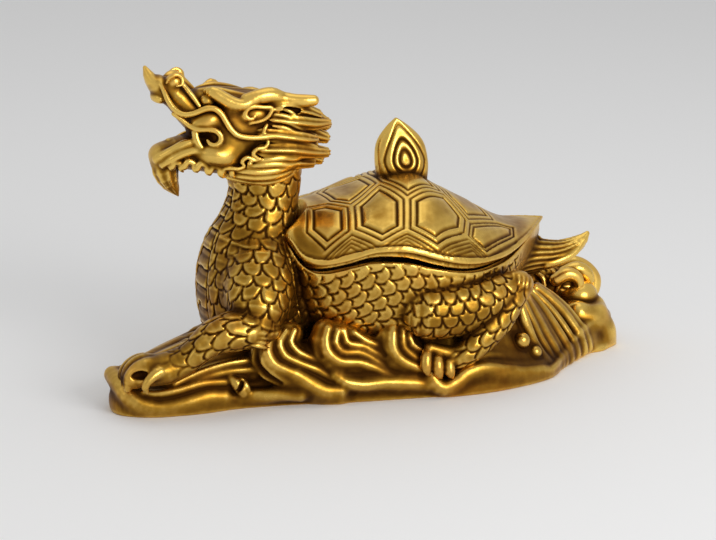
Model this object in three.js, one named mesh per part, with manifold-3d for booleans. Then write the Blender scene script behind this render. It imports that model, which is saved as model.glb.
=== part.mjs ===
// A cast brass dragon turtle: an incense box whose tortoise shell lifts off as its lid.
// Millimetres, +Z up. The figure walks toward -X on a base of waves that stands at z = 0, and -Y is
// its right-hand side. Pose, proportions and carving are drawn for a figure 190 mm long and scale with
// figureLength; walls, fits and clearances are real sizes of their own.
import * as THREE from 'three';
import { mergeVertices } from 'three/addons/utils/BufferGeometryUtils.js';
import Module from 'manifold-3d';

const wasm = await Module();
wasm.setup();

// Driving dimensions
const figureLength = 190;
const drawnLength = 190;
const bowlWall = 3;
const bowlFloorThickness = 17;
const lidThickness = 2.6;
const lidClearance = 0.6;
const seatGap = 0.35;
const slotHeight = 3;
const rimInset = 1;
const flangeDepth = 2.4;
const flangeThickness = 1.6;
const flangeClearance = 0.5;
const scaleRelief = 0.9;
const plateRelief = 1.1;
const plateGroove = 1.3;

const u = figureLength / drawnLength;
const bothSides = [-1, 1];

// A smooth curve of heights through a few [x, height] pairs, level with its end values beyond them.
function profile(pairs) {
  const slope = pairs.map((pair, i) => {
    const before = pairs[Math.max(i - 1, 0)];
    const after = pairs[Math.min(i + 1, pairs.length - 1)];
    return (after[1] - before[1]) / (after[0] - before[0]);
  });
  return (x) => {
    if (x <= pairs[0][0]) return pairs[0][1];
    if (x >= pairs[pairs.length - 1][0]) return pairs[pairs.length - 1][1];
    const i = pairs.findIndex((pair) => pair[0] > x) - 1;
    const span = pairs[i + 1][0] - pairs[i][0];
    const t = (x - pairs[i][0]) / span;
    const share = 3 * t ** 2 - 2 * t ** 3;
    const level = THREE.MathUtils.lerp(pairs[i][1], pairs[i + 1][1], share);
    return level + ((t ** 3 - 2 * t ** 2 + t) * slope[i] + (t ** 3 - t ** 2) * slope[i + 1]) * span;
  };
}

// A closed skin of rows between two poles. place(share, angle, row, column) gives the point at that
// share of the way from the first pole, and at that angle around. Quads are split so that every second
// point can stand proud as the tip of a diamond, the way scales overlap.
function skin(rows, around, place) {
  const points = [place(0, 0, 0, 0)];
  for (let row = 1; row < rows; row += 1) {
    for (let column = 0; column < around; column += 1) {
      points.push(place(row / rows, (2 * Math.PI * column) / around, row, column));
    }
  }
  points.push(place(1, 0, rows, 0));
  const at = (row, column) => 1 + (row - 1) * around + (column % around);
  const corners = [];
  for (let column = 0; column < around; column += 1) {
    corners.push(0, at(1, column), at(1, column + 1));
    corners.push(points.length - 1, at(rows - 1, column + 1), at(rows - 1, column));
    for (let row = 1; row < rows - 1; row += 1) {
      const [a, b] = [at(row, column), at(row, column + 1)];
      const [c, d] = [at(row + 1, column), at(row + 1, column + 1)];
      if ((row + column) % 2 === 0) corners.push(a, c, b, b, c, d);
      else corners.push(a, c, d, a, d, b);
    }
  }
  const geometry = new THREE.BufferGeometry().setFromPoints(points);
  geometry.setIndex(corners);
  return geometry;
}

// A limb along a smooth curve through its stations, each [x, y, z, half-width, half-height] as drawn.
// Half-width lies across the figure. With scales, every second point stands proud and leans along the
// limb by a share of a row; within the angle that bands gives, whole rows do, as belly plates. With
// grooves, every second column is sunk.
function limb(stations, options = {}) {
  const { rows = 8, around = 8, scales = 0, lean = 0.3, bands = 0, grooves = 0, blunt = 6 } = options;
  const line = new THREE.CatmullRomCurve3(stations.map(([x, y, z]) => new THREE.Vector3(x, y, z)));
  const last = stations.length - 1;
  const sizeAt = (share, which) => {
    const from = Math.min(Math.floor(share * last), last - 1);
    return THREE.MathUtils.lerp(stations[from][which], stations[from + 1][which], share * last - from);
  };
  return skin(rows, around, (share, angle, row, column) => {
    const inside = row > 0 && row < rows;
    const banded = Math.abs(angle - Math.PI / 2) < bands;
    const proud = inside && scales > 0 && (banded ? row : row + column) % 2 === 0;
    const raised = (proud ? scales : 0) - (inside && column % 2 === 0 ? grooves : 0);
    const at = THREE.MathUtils.clamp(share + (proud && row < rows - 1 ? lean / rows : 0), 0, 1);
    const end = Math.sqrt(Math.max(1 - Math.abs(2 * share - 1) ** blunt, 0));
    const tangent = line.getTangent(at);
    const across = new THREE.Vector3(0, 1, 0).addScaledVector(tangent, -tangent.y).normalize();
    const upward = new THREE.Vector3().crossVectors(tangent, across);
    return line.getPoint(at)
      .addScaledVector(across, Math.cos(angle) * (sizeAt(at, 3) * end + raised))
      .addScaledVector(upward, Math.sin(angle) * (sizeAt(at, 4) * end + raised))
      .multiplyScalar(u);
  });
}

function ellipsoid([x, y, z], [halfX, halfY, halfZ], { rows = 6, around = 8, pitch = 0 } = {}) {
  const geometry = new THREE.SphereGeometry(1, around, rows);
  geometry.scale(halfX * u, halfY * u, halfZ * u);
  geometry.rotateY(THREE.MathUtils.degToRad(pitch));
  geometry.translate(x * u, y * u, z * u);
  return geometry;
}

// A pointed cone from its root to its tip.
function spike(root, tip, radius, sides = 4) {
  const from = new THREE.Vector3(...root).multiplyScalar(u);
  const to = new THREE.Vector3(...tip).multiplyScalar(u);
  const along = to.clone().sub(from);
  const geometry = new THREE.ConeGeometry(radius * u, along.length(), sides);
  const turn = new THREE.Quaternion().setFromUnitVectors(new THREE.Vector3(0, 1, 0), along.normalize());
  geometry.applyQuaternion(turn);
  geometry.translate((from.x + to.x) / 2, (from.y + to.y) / 2, (from.z + to.z) / 2);
  return geometry;
}

// The same points on the figure's other side.
const onSide = (side, stations) => stations.map(([x, y, z, ...rest]) => [x, side * y, z, ...rest]);

// Turns a closed geometry into a solid that can be joined and cut.
function solid(geometry) {
  const bare = geometry.clone();
  bare.deleteAttribute('normal');
  bare.deleteAttribute('uv');
  const merged = mergeVertices(bare, 1e-5);
  const vertProperties = new Float32Array(merged.getAttribute('position').array);
  const corners = Array.from(merged.index.array);
  const make = (triVerts) => new wasm.Manifold(
    new wasm.Mesh({ numProp: 3, vertProperties, triVerts: new Uint32Array(triVerts) }),
  );
  const piece = make(corners);
  return piece.volume() > 0 ? piece : make(corners.reverse());
}

const union = (geometries) => geometries.map(solid).reduce((whole, piece) => whole.add(piece));

// The shell's outline in plan, seen from above: round at the shoulders and pointed at the tail.
const shellCentre = 10;
const shellFront = 47;
const shellRear = 54;
const shellHalfWidth = 38.5;
const frontRoundness = 0.75;
const rearRoundness = 2;
const tipInset = 1.3;

// The outline's point at an angle from the tail, moved inward by a real distance. wide and rear
// narrow it as the hull narrows toward the belly.
function shellOutline(angle, inset, wide = 1, rear = 1) {
  const toRear = Math.cos(angle) > 0;
  const roundness = toRear ? rearRoundness : frontRoundness;
  const reach = toRear ? (shellRear * u - inset * tipInset) * rear : (shellFront * u - inset) * wide;
  const across = Math.abs(Math.sin(angle)) ** roundness * Math.sign(Math.sin(angle));
  return {
    x: shellCentre * u + reach * Math.cos(angle),
    y: (shellHalfWidth * u - inset) * wide * across,
  };
}

// The shell's half-width where it crosses a given x, both as drawn.
function shellWidthAt(x) {
  const reach = x > shellCentre ? shellRear : shellFront;
  const roundness = x > shellCentre ? rearRoundness : frontRoundness;
  const share = Math.min(Math.abs(x - shellCentre) / reach, 1);
  return shellHalfWidth * Math.sqrt(1 - share ** 2) ** roundness;
}

// The wavy edge where the lid meets the bowl, the ridge along the shell's back, and the dome between
// them, as drawn.
const rimHeight = profile([
  [-37, 54], [-34.5, 51.5], [-32, 46.8], [-29, 45.2], [-25.8, 45.4], [-18, 47.8], [-12, 49.9], [-5.5, 50.3],
  [1, 49.5], [10, 46.6], [18, 44.5], [25, 43.5], [32, 43.4], [38.5, 43.7], [46, 45], [52, 46.1], [58.5, 47.6],
  [64, 48.5],
]);
const ridgeHeight = profile([
  [-37, 56], [-34, 59], [-30, 60], [-24, 60.6], [-17, 61.8], [-9, 63.4], [-1, 66.4], [11, 68.8], [20, 64.8],
  [28, 60.2], [36, 56], [44, 51.6], [50, 49.2], [56, 48.4], [64, 48.7],
]);
const lipHeight = 0.9;

function domeHeight(x, y) {
  const width = shellWidthAt(x);
  const share = width > 0 ? Math.min(Math.abs(y) / width, 1) : 1;
  const rise = (1 - share ** 2.3) ** 0.85;
  return rimHeight(x) + lipHeight + (ridgeHeight(x) - rimHeight(x)) * rise;
}

// The facets of the dome: its rings, as shares of the way out to the rim, and its sides.
const domeRings = [0.3, 0.56, 0.78, 0.92, 1];
const domeSides = 32;

// A solid under a dome: its top follows the shell's dome, moved out by grow, and its underside follows
// the rim's wave, moved down by drop(x).
function domeSolid({ rings, around, grow, drop }) {
  const rows = rings.length + 3;
  return skin(rows, around, (share, angle, row) => {
    const edge = shellOutline(angle, -grow);
    if (row === 0) return new THREE.Vector3(shellCentre * u, 0, domeHeight(shellCentre, 0) * u + grow);
    const underside = rimHeight(shellCentre) * u - drop(shellCentre);
    if (row === rows) return new THREE.Vector3(shellCentre * u, 0, underside);
    const spread = row > rings.length ? (rows - row) / 2 : rings[row - 1];
    const x = shellCentre * u + (edge.x - shellCentre * u) * spread;
    const y = edge.y * spread;
    const drawnX = x / u;
    if (row > rings.length) return new THREE.Vector3(x, y, rimHeight(drawnX) * u - drop(drawnX));
    return new THREE.Vector3(x, y, domeHeight(drawnX, y / u) * u + grow);
  });
}

// The space the lid covers: a round column where the neck rises through the notch in the lid's front.
const neckColumn = { x: -38, halfX: 13.4, halfY: 13.4, bottom: 10, top: 90 };
function columnSolid(grow) {
  const geometry = new THREE.CylinderGeometry(1, 1, (neckColumn.top - neckColumn.bottom) * u, 16);
  geometry.rotateX(Math.PI / 2);
  geometry.scale(neckColumn.halfX * u + grow, neckColumn.halfY * u + grow, 1);
  geometry.translate(neckColumn.x * u, 0, ((neckColumn.top + neckColumn.bottom) / 2) * u);
  return solid(geometry);
}

// A flat-sided ring section: the outline at one inset, between two depths below the rim's wave.
function rimPrism(inset, above, below, around) {
  return solid(skin(4, around, (share, angle, row) => {
    const spread = row === 0 || row === 4 ? 0 : 1;
    const edge = shellOutline(angle, inset);
    const x = shellCentre * u + (edge.x - shellCentre * u) * spread;
    const high = row < 2 ? above : -below;
    const shift = row === 2 ? (above - below) / 2 : high;
    return new THREE.Vector3(x, edge.y * spread, rimHeight(x / u) * u + shift);
  }));
}

// The dark slot under the lid's rim, highest at the middle, and the closer seat at both ends.
const slotShape = profile([[-35, 0], [-28, 0.72], [-18, 0.8], [-6, 1.08], [4, 1.08], [14, 0.85], [26, 0.7],
  [42, 0.4], [52, 0]]);
const rimGap = (x) => seatGap + slotHeight * slotShape(x);
const bowlInset = rimInset + bowlWall;
const flangeInset = bowlInset + flangeClearance;
const bowlSides = 22;

// How far a plate's root reaches below the dome, as a level of its relief.
const plateRoot = -1.4;

// One horny plate of the shell, raised on the dome with a groove round its middle field. Its corners
// are [x, share of the half-width]; mirrored plates lie on one side, others straddle the ridge.
function plate(corners, side) {
  const points = corners.map(([x, share]) => new THREE.Vector2(x, side * share * shellWidthAt(x)));
  const middle = new THREE.Vector2();
  points.forEach((point) => middle.addScaledVector(point, 1 / points.length));
  const shortest = Math.min(...points.map((point) => point.distanceTo(middle)));
  const levels = [[0, -0.2], [0.9, 1], [2.8, 0.25]];
  const rows = levels.length + 1;
  return skin(rows, points.length, (share, angle, row, column) => {
    const [inward, level] = row === 0 ? [shortest, plateRoot] : levels[Math.min(row, levels.length) - 1];
    const reach = row === rows ? 1 : Math.min((plateGroove / 2 + inward) / shortest, 1);
    const place = points[column].clone().lerp(middle, reach);
    const height = domeHeight(place.x, place.y) * u + level * plateRelief;
    return new THREE.Vector3(place.x * u, place.y * u, height);
  });
}

// Where the plates' borders meet, as [x, share of the half-width].
const knot = {
  neckHigh: [-26.4, 0.21], neckLow: [-30.3, 0.74], firstTop: [-18.3, 0.23], firstLow: [-26, 0.93],
  firstSecondHigh: [-12.8, 0.42], firstSecondLow: [-16.4, 0.77], secondTop: [0.2, 0.18],
  secondLow: [-9.5, 0.95], secondThirdHigh: [4.4, 0.55], secondThirdLow: [0, 0.86],
  thirdTop: [20.3, 0.37], thirdLow: [9.3, 0.95], thirdFourthHigh: [25, 0.69], thirdFourthLow: [22, 0.83],
  fourthTop: [39.1, 0.56], fourthLow: [28.4, 0.95], tailHigh: [47.4, 0.6], tailLow: [44.2, 0.86],
};
const sidePlates = [
  [knot.neckHigh, knot.firstTop, knot.firstSecondHigh, knot.firstSecondLow, knot.firstLow, knot.neckLow],
  [knot.firstSecondHigh, knot.secondTop, knot.secondThirdHigh, knot.secondThirdLow, knot.secondLow,
    knot.firstSecondLow],
  [knot.secondThirdHigh, knot.thirdTop, knot.thirdFourthHigh, knot.thirdFourthLow, knot.thirdLow,
    knot.secondThirdLow],
  [knot.thirdFourthHigh, knot.fourthTop, knot.tailHigh, knot.tailLow, knot.fourthLow, knot.thirdFourthLow],
];
const ridgePlates = [
  [knot.firstTop, knot.firstSecondHigh, knot.secondTop],
  [knot.secondTop, knot.secondThirdHigh, knot.thirdTop],
  [knot.thirdTop, knot.thirdFourthHigh, knot.fourthTop],
].map((half) => [...half, ...half.map(([x, share]) => [x, -share]).reverse()]);

// The flame on top of the shell: flat across the figure, with a drop-shaped swirl on each face.
const flame = {
  halfWidth: profile([[64, 8], [68, 9], [72.6, 9.4], [78, 8.8], [81, 7.4], [83.6, 5.2], [85.8, 2.8],
    [87.6, 0]]),
  middle: profile([[64, 11.2], [72, 10.6], [80, 9.8], [87.6, 8.6]]),
  halfThickness: profile([[64, 4.8], [71, 5.1], [80, 3.4], [87.6, 0.4]]),
  bottom: 64,
  top: 87.6,
};

function flameParts() {
  const blade = skin(7, 10, (share, angle) => {
    const z = THREE.MathUtils.lerp(flame.bottom, flame.top, share);
    const closed = share === 0 ? 0 : 1;
    const x = flame.middle(z) + flame.halfWidth(z) * Math.cos(angle) * closed;
    return new THREE.Vector3(x, flame.halfThickness(z) * Math.sin(angle) * closed, z).multiplyScalar(u);
  });
  const swirl = (side) => limb(onSide(side, [
    [9.6, 3, 83.6, 0.9, 0.9], [6.2, 4.6, 77.5, 1.3, 1.3], [7.2, 5.6, 72.6, 1.4, 1.4],
    [10.8, 5.7, 70.9, 1.4, 1.4], [14.2, 5.3, 73, 1.4, 1.4], [14, 4.6, 77.6, 1.3, 1.3],
    [11.4, 3.5, 81.4, 0.9, 0.9],
  ]), { rows: 8, around: 4 });
  return [blade, ...bothSides.map(swirl)];
}

// The hollow under the lid, as the share of its outline at each row: up to its edge under the roof,
// then back well below the flange, by innerDrop as drawn. The wall thickens toward the edge.
const innerSpread = [0, 0.35, 0.62, 0.82, 0.95, 1, 1, 0.5, 0];
const innerRoofRows = 5;
const edgeThickening = 0.25;
const innerDrop = 12;

function makeLid() {
  const outside = solid(domeSolid({ rings: domeRings, around: domeSides, grow: 0, drop: () => 0 }));
  const inside = solid(skin(innerSpread.length - 1, bowlSides, (share, angle, row) => {
    const spread = innerSpread[row];
    const edge = shellOutline(angle, flangeInset + flangeThickness);
    const x = shellCentre * u + (edge.x - shellCentre * u) * spread;
    const y = edge.y * spread;
    const low = rimHeight(x / u) * u - flangeDepth - innerDrop * u;
    const high = domeHeight(x / u, y / u) * u - lidThickness * (1 + edgeThickening * spread);
    return new THREE.Vector3(x, y, row > innerRoofRows ? low : high);
  }));
  const flange = rimPrism(flangeInset, lipHeight, flangeDepth, bowlSides)
    .subtract(columnSolid(bowlWall + flangeClearance));
  const bump = ellipsoid([-27.5, 0, 59], [4, 3.4, 2.6]);
  const plates = sidePlates.flatMap((corners) => bothSides.map((side) => plate(corners, side)));
  const ridge = ridgePlates.map((corners) => plate(corners, 1));
  return outside
    .add(union([...plates, ...ridge, ...flameParts(), bump]))
    .subtract(columnSolid(lidClearance))
    .add(flange)
    .subtract(inside.subtract(columnSolid(lidClearance + lidThickness)));
}

// The hull below the rim. Each level is [share of the way from the rim down to the belly, share of the
// half-width, share of the rear reach]; the scales start below a smooth band.
const bellyHeight = 20;
const trunkFloor = 12;
const trunkTop = 0.4;
const bowlTop = 6;
const hullLevels = [[-0.1, 1, 1], [0.12, 1, 1], [0.26, 1.02, 0.98], [0.4, 1.03, 0.94], [0.54, 1.02, 0.89],
  [0.68, 0.99, 0.83], [0.82, 0.94, 0.77], [1, 0.84, 0.68], [1.15, 0.6, 0.5]];
const firstScaledLevel = 3;

function hull({ around, inset, floor, top, scales }) {
  const rows = hullLevels.length + 1;
  return skin(rows, around, (share, angle, row, column) => {
    if (row === 0) return new THREE.Vector3(shellCentre * u, 0, rimHeight(shellCentre) * u + top);
    if (row === rows) return new THREE.Vector3(shellCentre * u, 0, floor);
    const [down, wide, rear] = hullLevels[row - 1];
    const raised = row >= firstScaledLevel && row < rows - 1 && (row + column) % 2 === 0 ? scales : 0;
    const leant = raised > 0 ? (Math.sin(angle) * 1.2) / around : 0;
    const edge = shellOutline(angle - leant * Math.PI, inset - raised, wide, rear);
    const rim = rimHeight(edge.x / u) * u;
    const height = rim - down * (rim - bellyHeight * u);
    return new THREE.Vector3(edge.x, edge.y, row === 1 ? rim + top : Math.max(height, floor));
  });
}

// The half-angle of the chest's belly plates, seen from the neck's middle.
const bellyPlates = 0.7;

// Limbs of the right side, -Y, and then of the left side, as drawn
const neckStations = [
  [-37, 0, 9, 18, 17], [-40, 0, 20, 22.5, 18], [-44, 0, 31, 25.5, 16.6], [-44.5, 0, 40, 23.5, 15.6],
  [-43.6, 0, 47, 18.6, 14.4], [-41.6, 0, 53, 15, 12.6], [-39.4, 0, 59.5, 12.6, 11.8],
  [-38.2, 0, 66, 11.6, 11.6],
  [-38, 0, 71, 11.6, 12.2], [-38.4, 0, 78, 12, 12.4], [-40, 0, 86, 11, 11],
];

function rightForeleg() {
  return [
    limb([[-40, -18, 46, 7, 9], [-43, -21.5, 36, 9.5, 13], [-43, -25.5, 26, 8.5, 12], [-40, -27, 18, 6, 7]],
      { rows: 7, around: 8, scales: scaleRelief }),
    limb([[-38, -27, 21, 6.5, 7], [-48, -27.5, 22.5, 8, 9.6], [-60, -26.5, 20.5, 7.4, 8.2],
      [-70, -25.5, 16.5, 6, 6.6], [-79, -23.5, 14, 5, 5]],
    { rows: 10, around: 8, scales: scaleRelief }),
    limb([[-75, -23.5, 12.6, 5, 5.4], [-82, -22.5, 14, 6.6, 5.2], [-87, -21.5, 12, 5.2, 4]],
      { rows: 5, around: 6 }),
    ...[-27.4, -22.6, -17.6].map((y, i) => limb([
      [-78, y, 14, 2.6, 3], [-85, y + 0.5, 15.4 - i * 0.2, 2.7, 3], [-89.6, y + 1, 12, 2, 2.2],
      [-90.6, y + 1.4, 8, 0.9, 0.9],
    ], { rows: 5, around: 4 })),
    limb([[-73, -27, 13, 2.4, 3], [-79.6, -29.2, 12.6, 2.2, 2.4], [-83.6, -28.6, 9, 1, 1]],
      { rows: 4, around: 4 }),
    ...[0, 1, 2].map((i) => spike([-38, -28.5, 23 - i * 3.5], [-31.5, -31, 21.5 - i * 4.4], 2.2)),
  ];
}

function leftForeleg() {
  return [
    limb([[-40, 18, 46, 7, 9], [-40, 22, 36, 9.5, 12], [-36, 26, 26, 8.5, 10], [-31, 27, 18, 6.5, 7]],
      { rows: 6, around: 8, scales: scaleRelief }),
    limb([[-29, 27, 18, 6, 6.5], [-37, 27.4, 15.4, 6.4, 6.6], [-45, 27, 11.4, 5.6, 5.6],
      [-50, 26.6, 8.6, 5.4, 4.6]],
      { rows: 6, around: 8, scales: scaleRelief }),
    ...[23.5, 27, 30].map((y) => spike([-46, y, 8], [-57, y, 6], 3)),
  ];
}

function rightHindLeg() {
  return [
    limb([[0, -30, 33, 6, 9], [10, -32, 32, 8.4, 12.4], [22, -32.5, 31.5, 8.8, 12.6],
      [34, -31.5, 33, 7, 9.6], [43, -30.5, 34, 5, 5.4]], { rows: 9, around: 10, scales: scaleRelief }),
    limb([[45, -29.5, 34, 5.4, 5.2], [37, -32, 26.5, 5.8, 6], [27, -34.4, 18.5, 5.4, 5.6],
      [18, -35.6, 11.5, 4.8, 4.8], [11, -35.6, 7, 4.4, 4.2]], { rows: 8, around: 8, scales: scaleRelief }),
    ...[-38, -34.8, -31.6].map((y, i) => limb([
      [15, y + 0.6, 9.5 + i, 2.3, 2.8], [9.5, y, 9 + i * 1.4, 2.3, 3], [7, y, 5 + i * 1.6, 1.7, 2],
    ], { rows: 4, around: 4 })),
    ...[0, 1, 2, 3].map((i) => spike(
      [43.4 - i * 1.6, -31 - i * 0.5, 35 - i * 2], [46.4 - i * 1.2, -34.4 - i * 0.5, 37.4 - i * 3], 1.8,
    )),
  ];
}

function leftHindLeg() {
  return [
    limb([[14, 28, 33, 5, 7], [27, 30, 31, 8, 11.5], [40, 28, 28, 8.5, 11], [50, 25, 26, 7, 8]],
      { rows: 7, around: 8, scales: scaleRelief }),
    limb([[46, 25, 24, 7, 7.4], [60, 20.5, 22, 6.6, 7.4], [70, 17, 21.5, 6.2, 6.4], [79, 12.5, 21, 6, 5.6]],
      { rows: 8, around: 8, scales: scaleRelief }),
    limb([[77, 16.4, 22, 2.8, 3.4], [84.5, 16, 25.4, 3, 3.4], [90.6, 15, 22.6, 3, 3.2], [91, 14, 16.4, 2, 2]],
      { rows: 4, around: 4 }),
    limb([[76, 11, 22, 3, 3.6], [84, 10.6, 25, 3, 3.4], [90.6, 9.6, 22, 3.2, 3.4], [90.6, 8, 17, 3, 2.8],
      [82.6, 5.6, 17.4, 0.9, 0.9]], { rows: 6, around: 5 }),
    limb([[74, 6, 21.4, 2.8, 3.4], [80.4, 5, 24.4, 2.8, 3.2], [84.6, 4.4, 21.4, 2.2, 2.4],
      [83, 3.6, 17.4, 1.2, 1.2]], { rows: 4, around: 4 }),
  ];
}

function tail() {
  return limb([[44, 0, 34, 7, 7.4], [52, 0, 35.4, 6, 7], [62, 0, 35.2, 5.2, 6.4], [70, 0, 36.2, 4.2, 5],
    [77, 0, 39, 2.8, 3.2], [82.6, 0, 43.4, 1, 1]], { rows: 8, around: 8, grooves: 0.7 });
}

// The head: an open-jawed dragon looking up and forward. Its left horn lies a little lower.
const leftHornDrop = 3;

function jaws() {
  const upper = limb([[-46, 0, 85.6, 11.5, 8], [-56, 0, 88.4, 10, 6.9], [-63, 0, 94.6, 8.2, 5.2],
    [-69, 0, 100.6, 6.8, 4.6], [-73, 0, 103.6, 5.2, 3.4]], { rows: 6, around: 8 });
  const lower = limb([[-42, 0, 79, 11, 8], [-54, 0, 80, 9.8, 7], [-65, 0, 79.6, 7.6, 5.2],
    [-71, 0, 79.6, 6, 3.8], [-76, 0, 80.4, 4, 1.8]], { rows: 6, around: 6 });
  const beard = limb([[-72.5, 0, 79, 5, 3.6], [-70.8, 0, 74, 4, 4.2], [-68.8, 0, 70, 2.6, 2.8],
    [-67.4, 0, 66, 0.8, 0.8]], { rows: 5, around: 5 });
  const lip = ellipsoid([-73, 0, 98.8], [3.4, 5.6, 3.6], { pitch: -45, rows: 4, around: 6 });
  const leaf = limb([[-71, 0, 99, 5, 3], [-74.6, 0, 103.4, 4, 2.4], [-77.4, 0, 108.6, 0.8, 0.8]],
    { rows: 5, around: 6 });
  return [upper, lower, beard, lip, leaf];
}

function face(side) {
  const on = (stations) => onSide(side, stations);
  const hornDrop = side > 0 ? leftHornDrop : 0;
  return [
    ellipsoid([-68.6, side * 5, 104], [3.2, 3, 3], { rows: 4, around: 6 }),
    limb(on([[-58.4, 8, 101, 2, 1.8], [-53, 11, 98.4, 2.6, 2.4], [-47.4, 12.2, 96.8 - hornDrop, 2.6, 2.2],
      [-42, 11.4, 98 - hornDrop, 3, 2.4], [-36.5, 9.6, 98.6 - hornDrop, 3, 2.4],
      [-31, 10.6, 97.6 - hornDrop, 2.4, 2.3], [-25, 12.4, 97.2 - hornDrop, 2.1, 2.1],
    ]), { rows: 8, around: 4 }),
    ellipsoid([-43.2, side * 11.4, 93.4], [3.2, 2.4, 2.4], { rows: 4, around: 6 }),
    ellipsoid([-54, side * 9.6, 80.6], [7, 4.2, 5.2], { pitch: 20, rows: 4, around: 6 }),
    limb(on([
      [-72.4, 4, 103, 1, 1], [-71.1, 7, 97.6, 1.1, 1.1], [-65.8, 9.6, 94, 1.1, 1.1],
      [-58.4, 11, 96, 1.2, 1.2], [-54.4, 12, 93, 1.1, 1.1], [-50.3, 13.2, 87.8, 1.1, 1.1],
      [-41.1, 14, 86.2, 1.1, 1.1], [-32, 13.6, 85.5, 1.1, 1.1], [-23.5, 10.4, 81, 0.9, 0.9],
    ]), { rows: 9, around: 4 }),
    spike([-63, side * 8, 88.6], [-60.2, side * 9.2, 81.6], 1.9),
  ];
}

// The finer trim of the right cheek: the lip's curl, the ring round the eye, the barbs of the jaw and the
// frill.
function cheekTrim() {
  return [
    limb([[-68.5, -6.4, 92.6, 1, 1], [-62, -8.6, 88.6, 1.2, 1.2], [-57, -10.4, 88, 1.2, 1.2],
      [-55, -12, 85.4, 1.2, 1.2], [-58, -11.8, 83.2, 1, 1]], { rows: 6, around: 4 }),
    limb([[-46.6, -11.8, 91.4, 1, 1], [-47.6, -12, 95, 1, 1], [-42.6, -12, 96.4, 1, 1],
      [-38.2, -11.8, 94.8, 1, 1], [-40.4, -12, 90.8, 1, 1]], { rows: 6, around: 4 }),
    ...[[-64, 9, 75.4], [-59.4, 10.6, 75], [-54.8, 12, 74.6]].map(([x, y, z]) => (
      spike([x - 1.6, 2 - y, z + 3], [x + 2.4, -y, z - 1.8], 2))),
    ...[[-44, 80.6], [-43.4, 84.6], [-46, 76.6]].map(([x, z]) => (
      spike([x - 5, -11.4, z], [x + 2, -14.4, z - 0.6], 2.6))),
  ];
}

// Locks of the mane on one side, each from its root to a blunt tip.
function mane(side) {
  const locks = [
    [[-38, 10, 94.6, 3.4, 3], [-29, 11, 93.2, 3, 2.6], [-20, 7, 91.4, 1.5, 1.5]],
    [[-40, 11, 90.4, 3.4, 3], [-29, 11.4, 89.6, 3, 2.8], [-14.6, 6, 87, 1.7, 1.7]],
    [[-42, 11, 86, 3.4, 3], [-31, 12, 84.6, 3, 2.8], [-23, 9.6, 82, 1.5, 1.5]],
    [[-42, 11, 81.6, 3.4, 3], [-30, 11.4, 81, 3, 2.8], [-14.6, 5, 77.8, 1.7, 1.7]],
    [[-44, 10.6, 77.6, 3, 2.6], [-35, 12.4, 76.2, 2.8, 2.6], [-28, 11.2, 77.2, 1.2, 1.2]],
    [[-38, 8, 77, 3.4, 3], [-29, 8.4, 76, 2.8, 2.6], [-20.4, 4, 73.4, 1.5, 1.5]],
  ];
  return locks.map((stations) => limb(onSide(side, stations), { rows: 4, around: 4 }));
}

function head() {
  const skull = ellipsoid([-41, 0, 87.4], [17, 13.2, 11], { rows: 6, around: 8 });
  const crown = limb([[-59.5, 0, 99, 5.6, 2.6], [-49, 0, 97.4, 9.4, 3.2], [-37, 0, 94.4, 9, 4.2],
    [-26, 0, 91.6, 6, 4.4], [-15.6, 0, 86.4, 2.2, 2.2]], { rows: 6 });
  return [skull, crown, ...jaws(), ...cheekTrim(),
    ...bothSides.flatMap((side) => [...face(side), ...mane(side)])];
}

// The open mouth between the tongue and the palate.
function mouthHollow() {
  return solid(limb([[-80, 0, 92, 4.6, 3], [-70, 0, 87.6, 4.6, 3.8], [-63, 0, 85.6, 4, 2.6]], { rows: 5 }));
}

// The base: a ground plan with a low rolled edge, and waves that climb toward the belly
const groundPlan = [
  [-95, -12], [-90.5, -22.5], [-72, -27.5], [-54, -26.6], [-35, -29], [-17, -33], [8, -36.5], [16, -38.6],
  [33, -37.8], [53, -31.5], [64, -21], [79, -9], [93.5, 2], [95, 12], [86, 22], [68, 28], [44, 32], [18, 33],
  [-8, 33], [-32, 33], [-56, 30], [-72, 18], [-87, 3],
];
const edgeHeight = profile([
  [-95, 9.8], [-92, 10.4], [-88, 5.4], [-76, 5.6], [-66, 6.4], [-52, 5], [-36, 4.2], [-22, 7.6], [4, 6.4],
  [14, 5], [40, 4], [54, 4.4], [64, 6], [78, 11], [95, 11],
]);
const bedHeight = profile([
  [-93, 10], [-84, 9], [-76, 9.6], [-60, 13], [-48, 18], [-30, 20], [0, 20], [30, 22], [46, 28], [58, 26],
  [70, 18], [82, 15], [92, 13],
]);

// Rows of the base from its underside to its top: [share of the way in from the edge, share of the
// ledge's height, share of the climb from the ledge to the waves].
const swellRows = [[0, 0, 0], [0, 0.7, 0], [0.06, 1, 0], [0.15, 1, 0.3], [0.3, 1, 0.68], [0.52, 1, 0.92],
  [0.8, 1, 1.25]];

const swellCentre = 2;
const swellTop = 25;
const swellRipple = 0.9;

function groundSwell() {
  const outline = new THREE.CatmullRomCurve3(groundPlan.map(([x, y]) => new THREE.Vector3(x, y, 0)), true);
  const rows = swellRows.length + 1;
  return skin(rows, 36, (share, angle, row) => {
    if (row === 0) return new THREE.Vector3(swellCentre, 0, 0).multiplyScalar(u);
    if (row === rows) return new THREE.Vector3(swellCentre, 0, swellTop).multiplyScalar(u);
    const [inward, ledge, climb] = swellRows[row - 1];
    const edge = outline.getPoint(angle / (2 * Math.PI));
    const edgeTop = edgeHeight(edge.x);
    const place = edge.lerp(new THREE.Vector3(edge.x * 0.84, 2, 0), inward);
    const wave = climb > 0 ? swellRipple * Math.sin(place.x * 0.42 + row * 2.1) : 0;
    return place.setZ(edgeTop * ledge + (bedHeight(place.x) - edgeTop) * climb + wave).multiplyScalar(u);
  });
}

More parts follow.
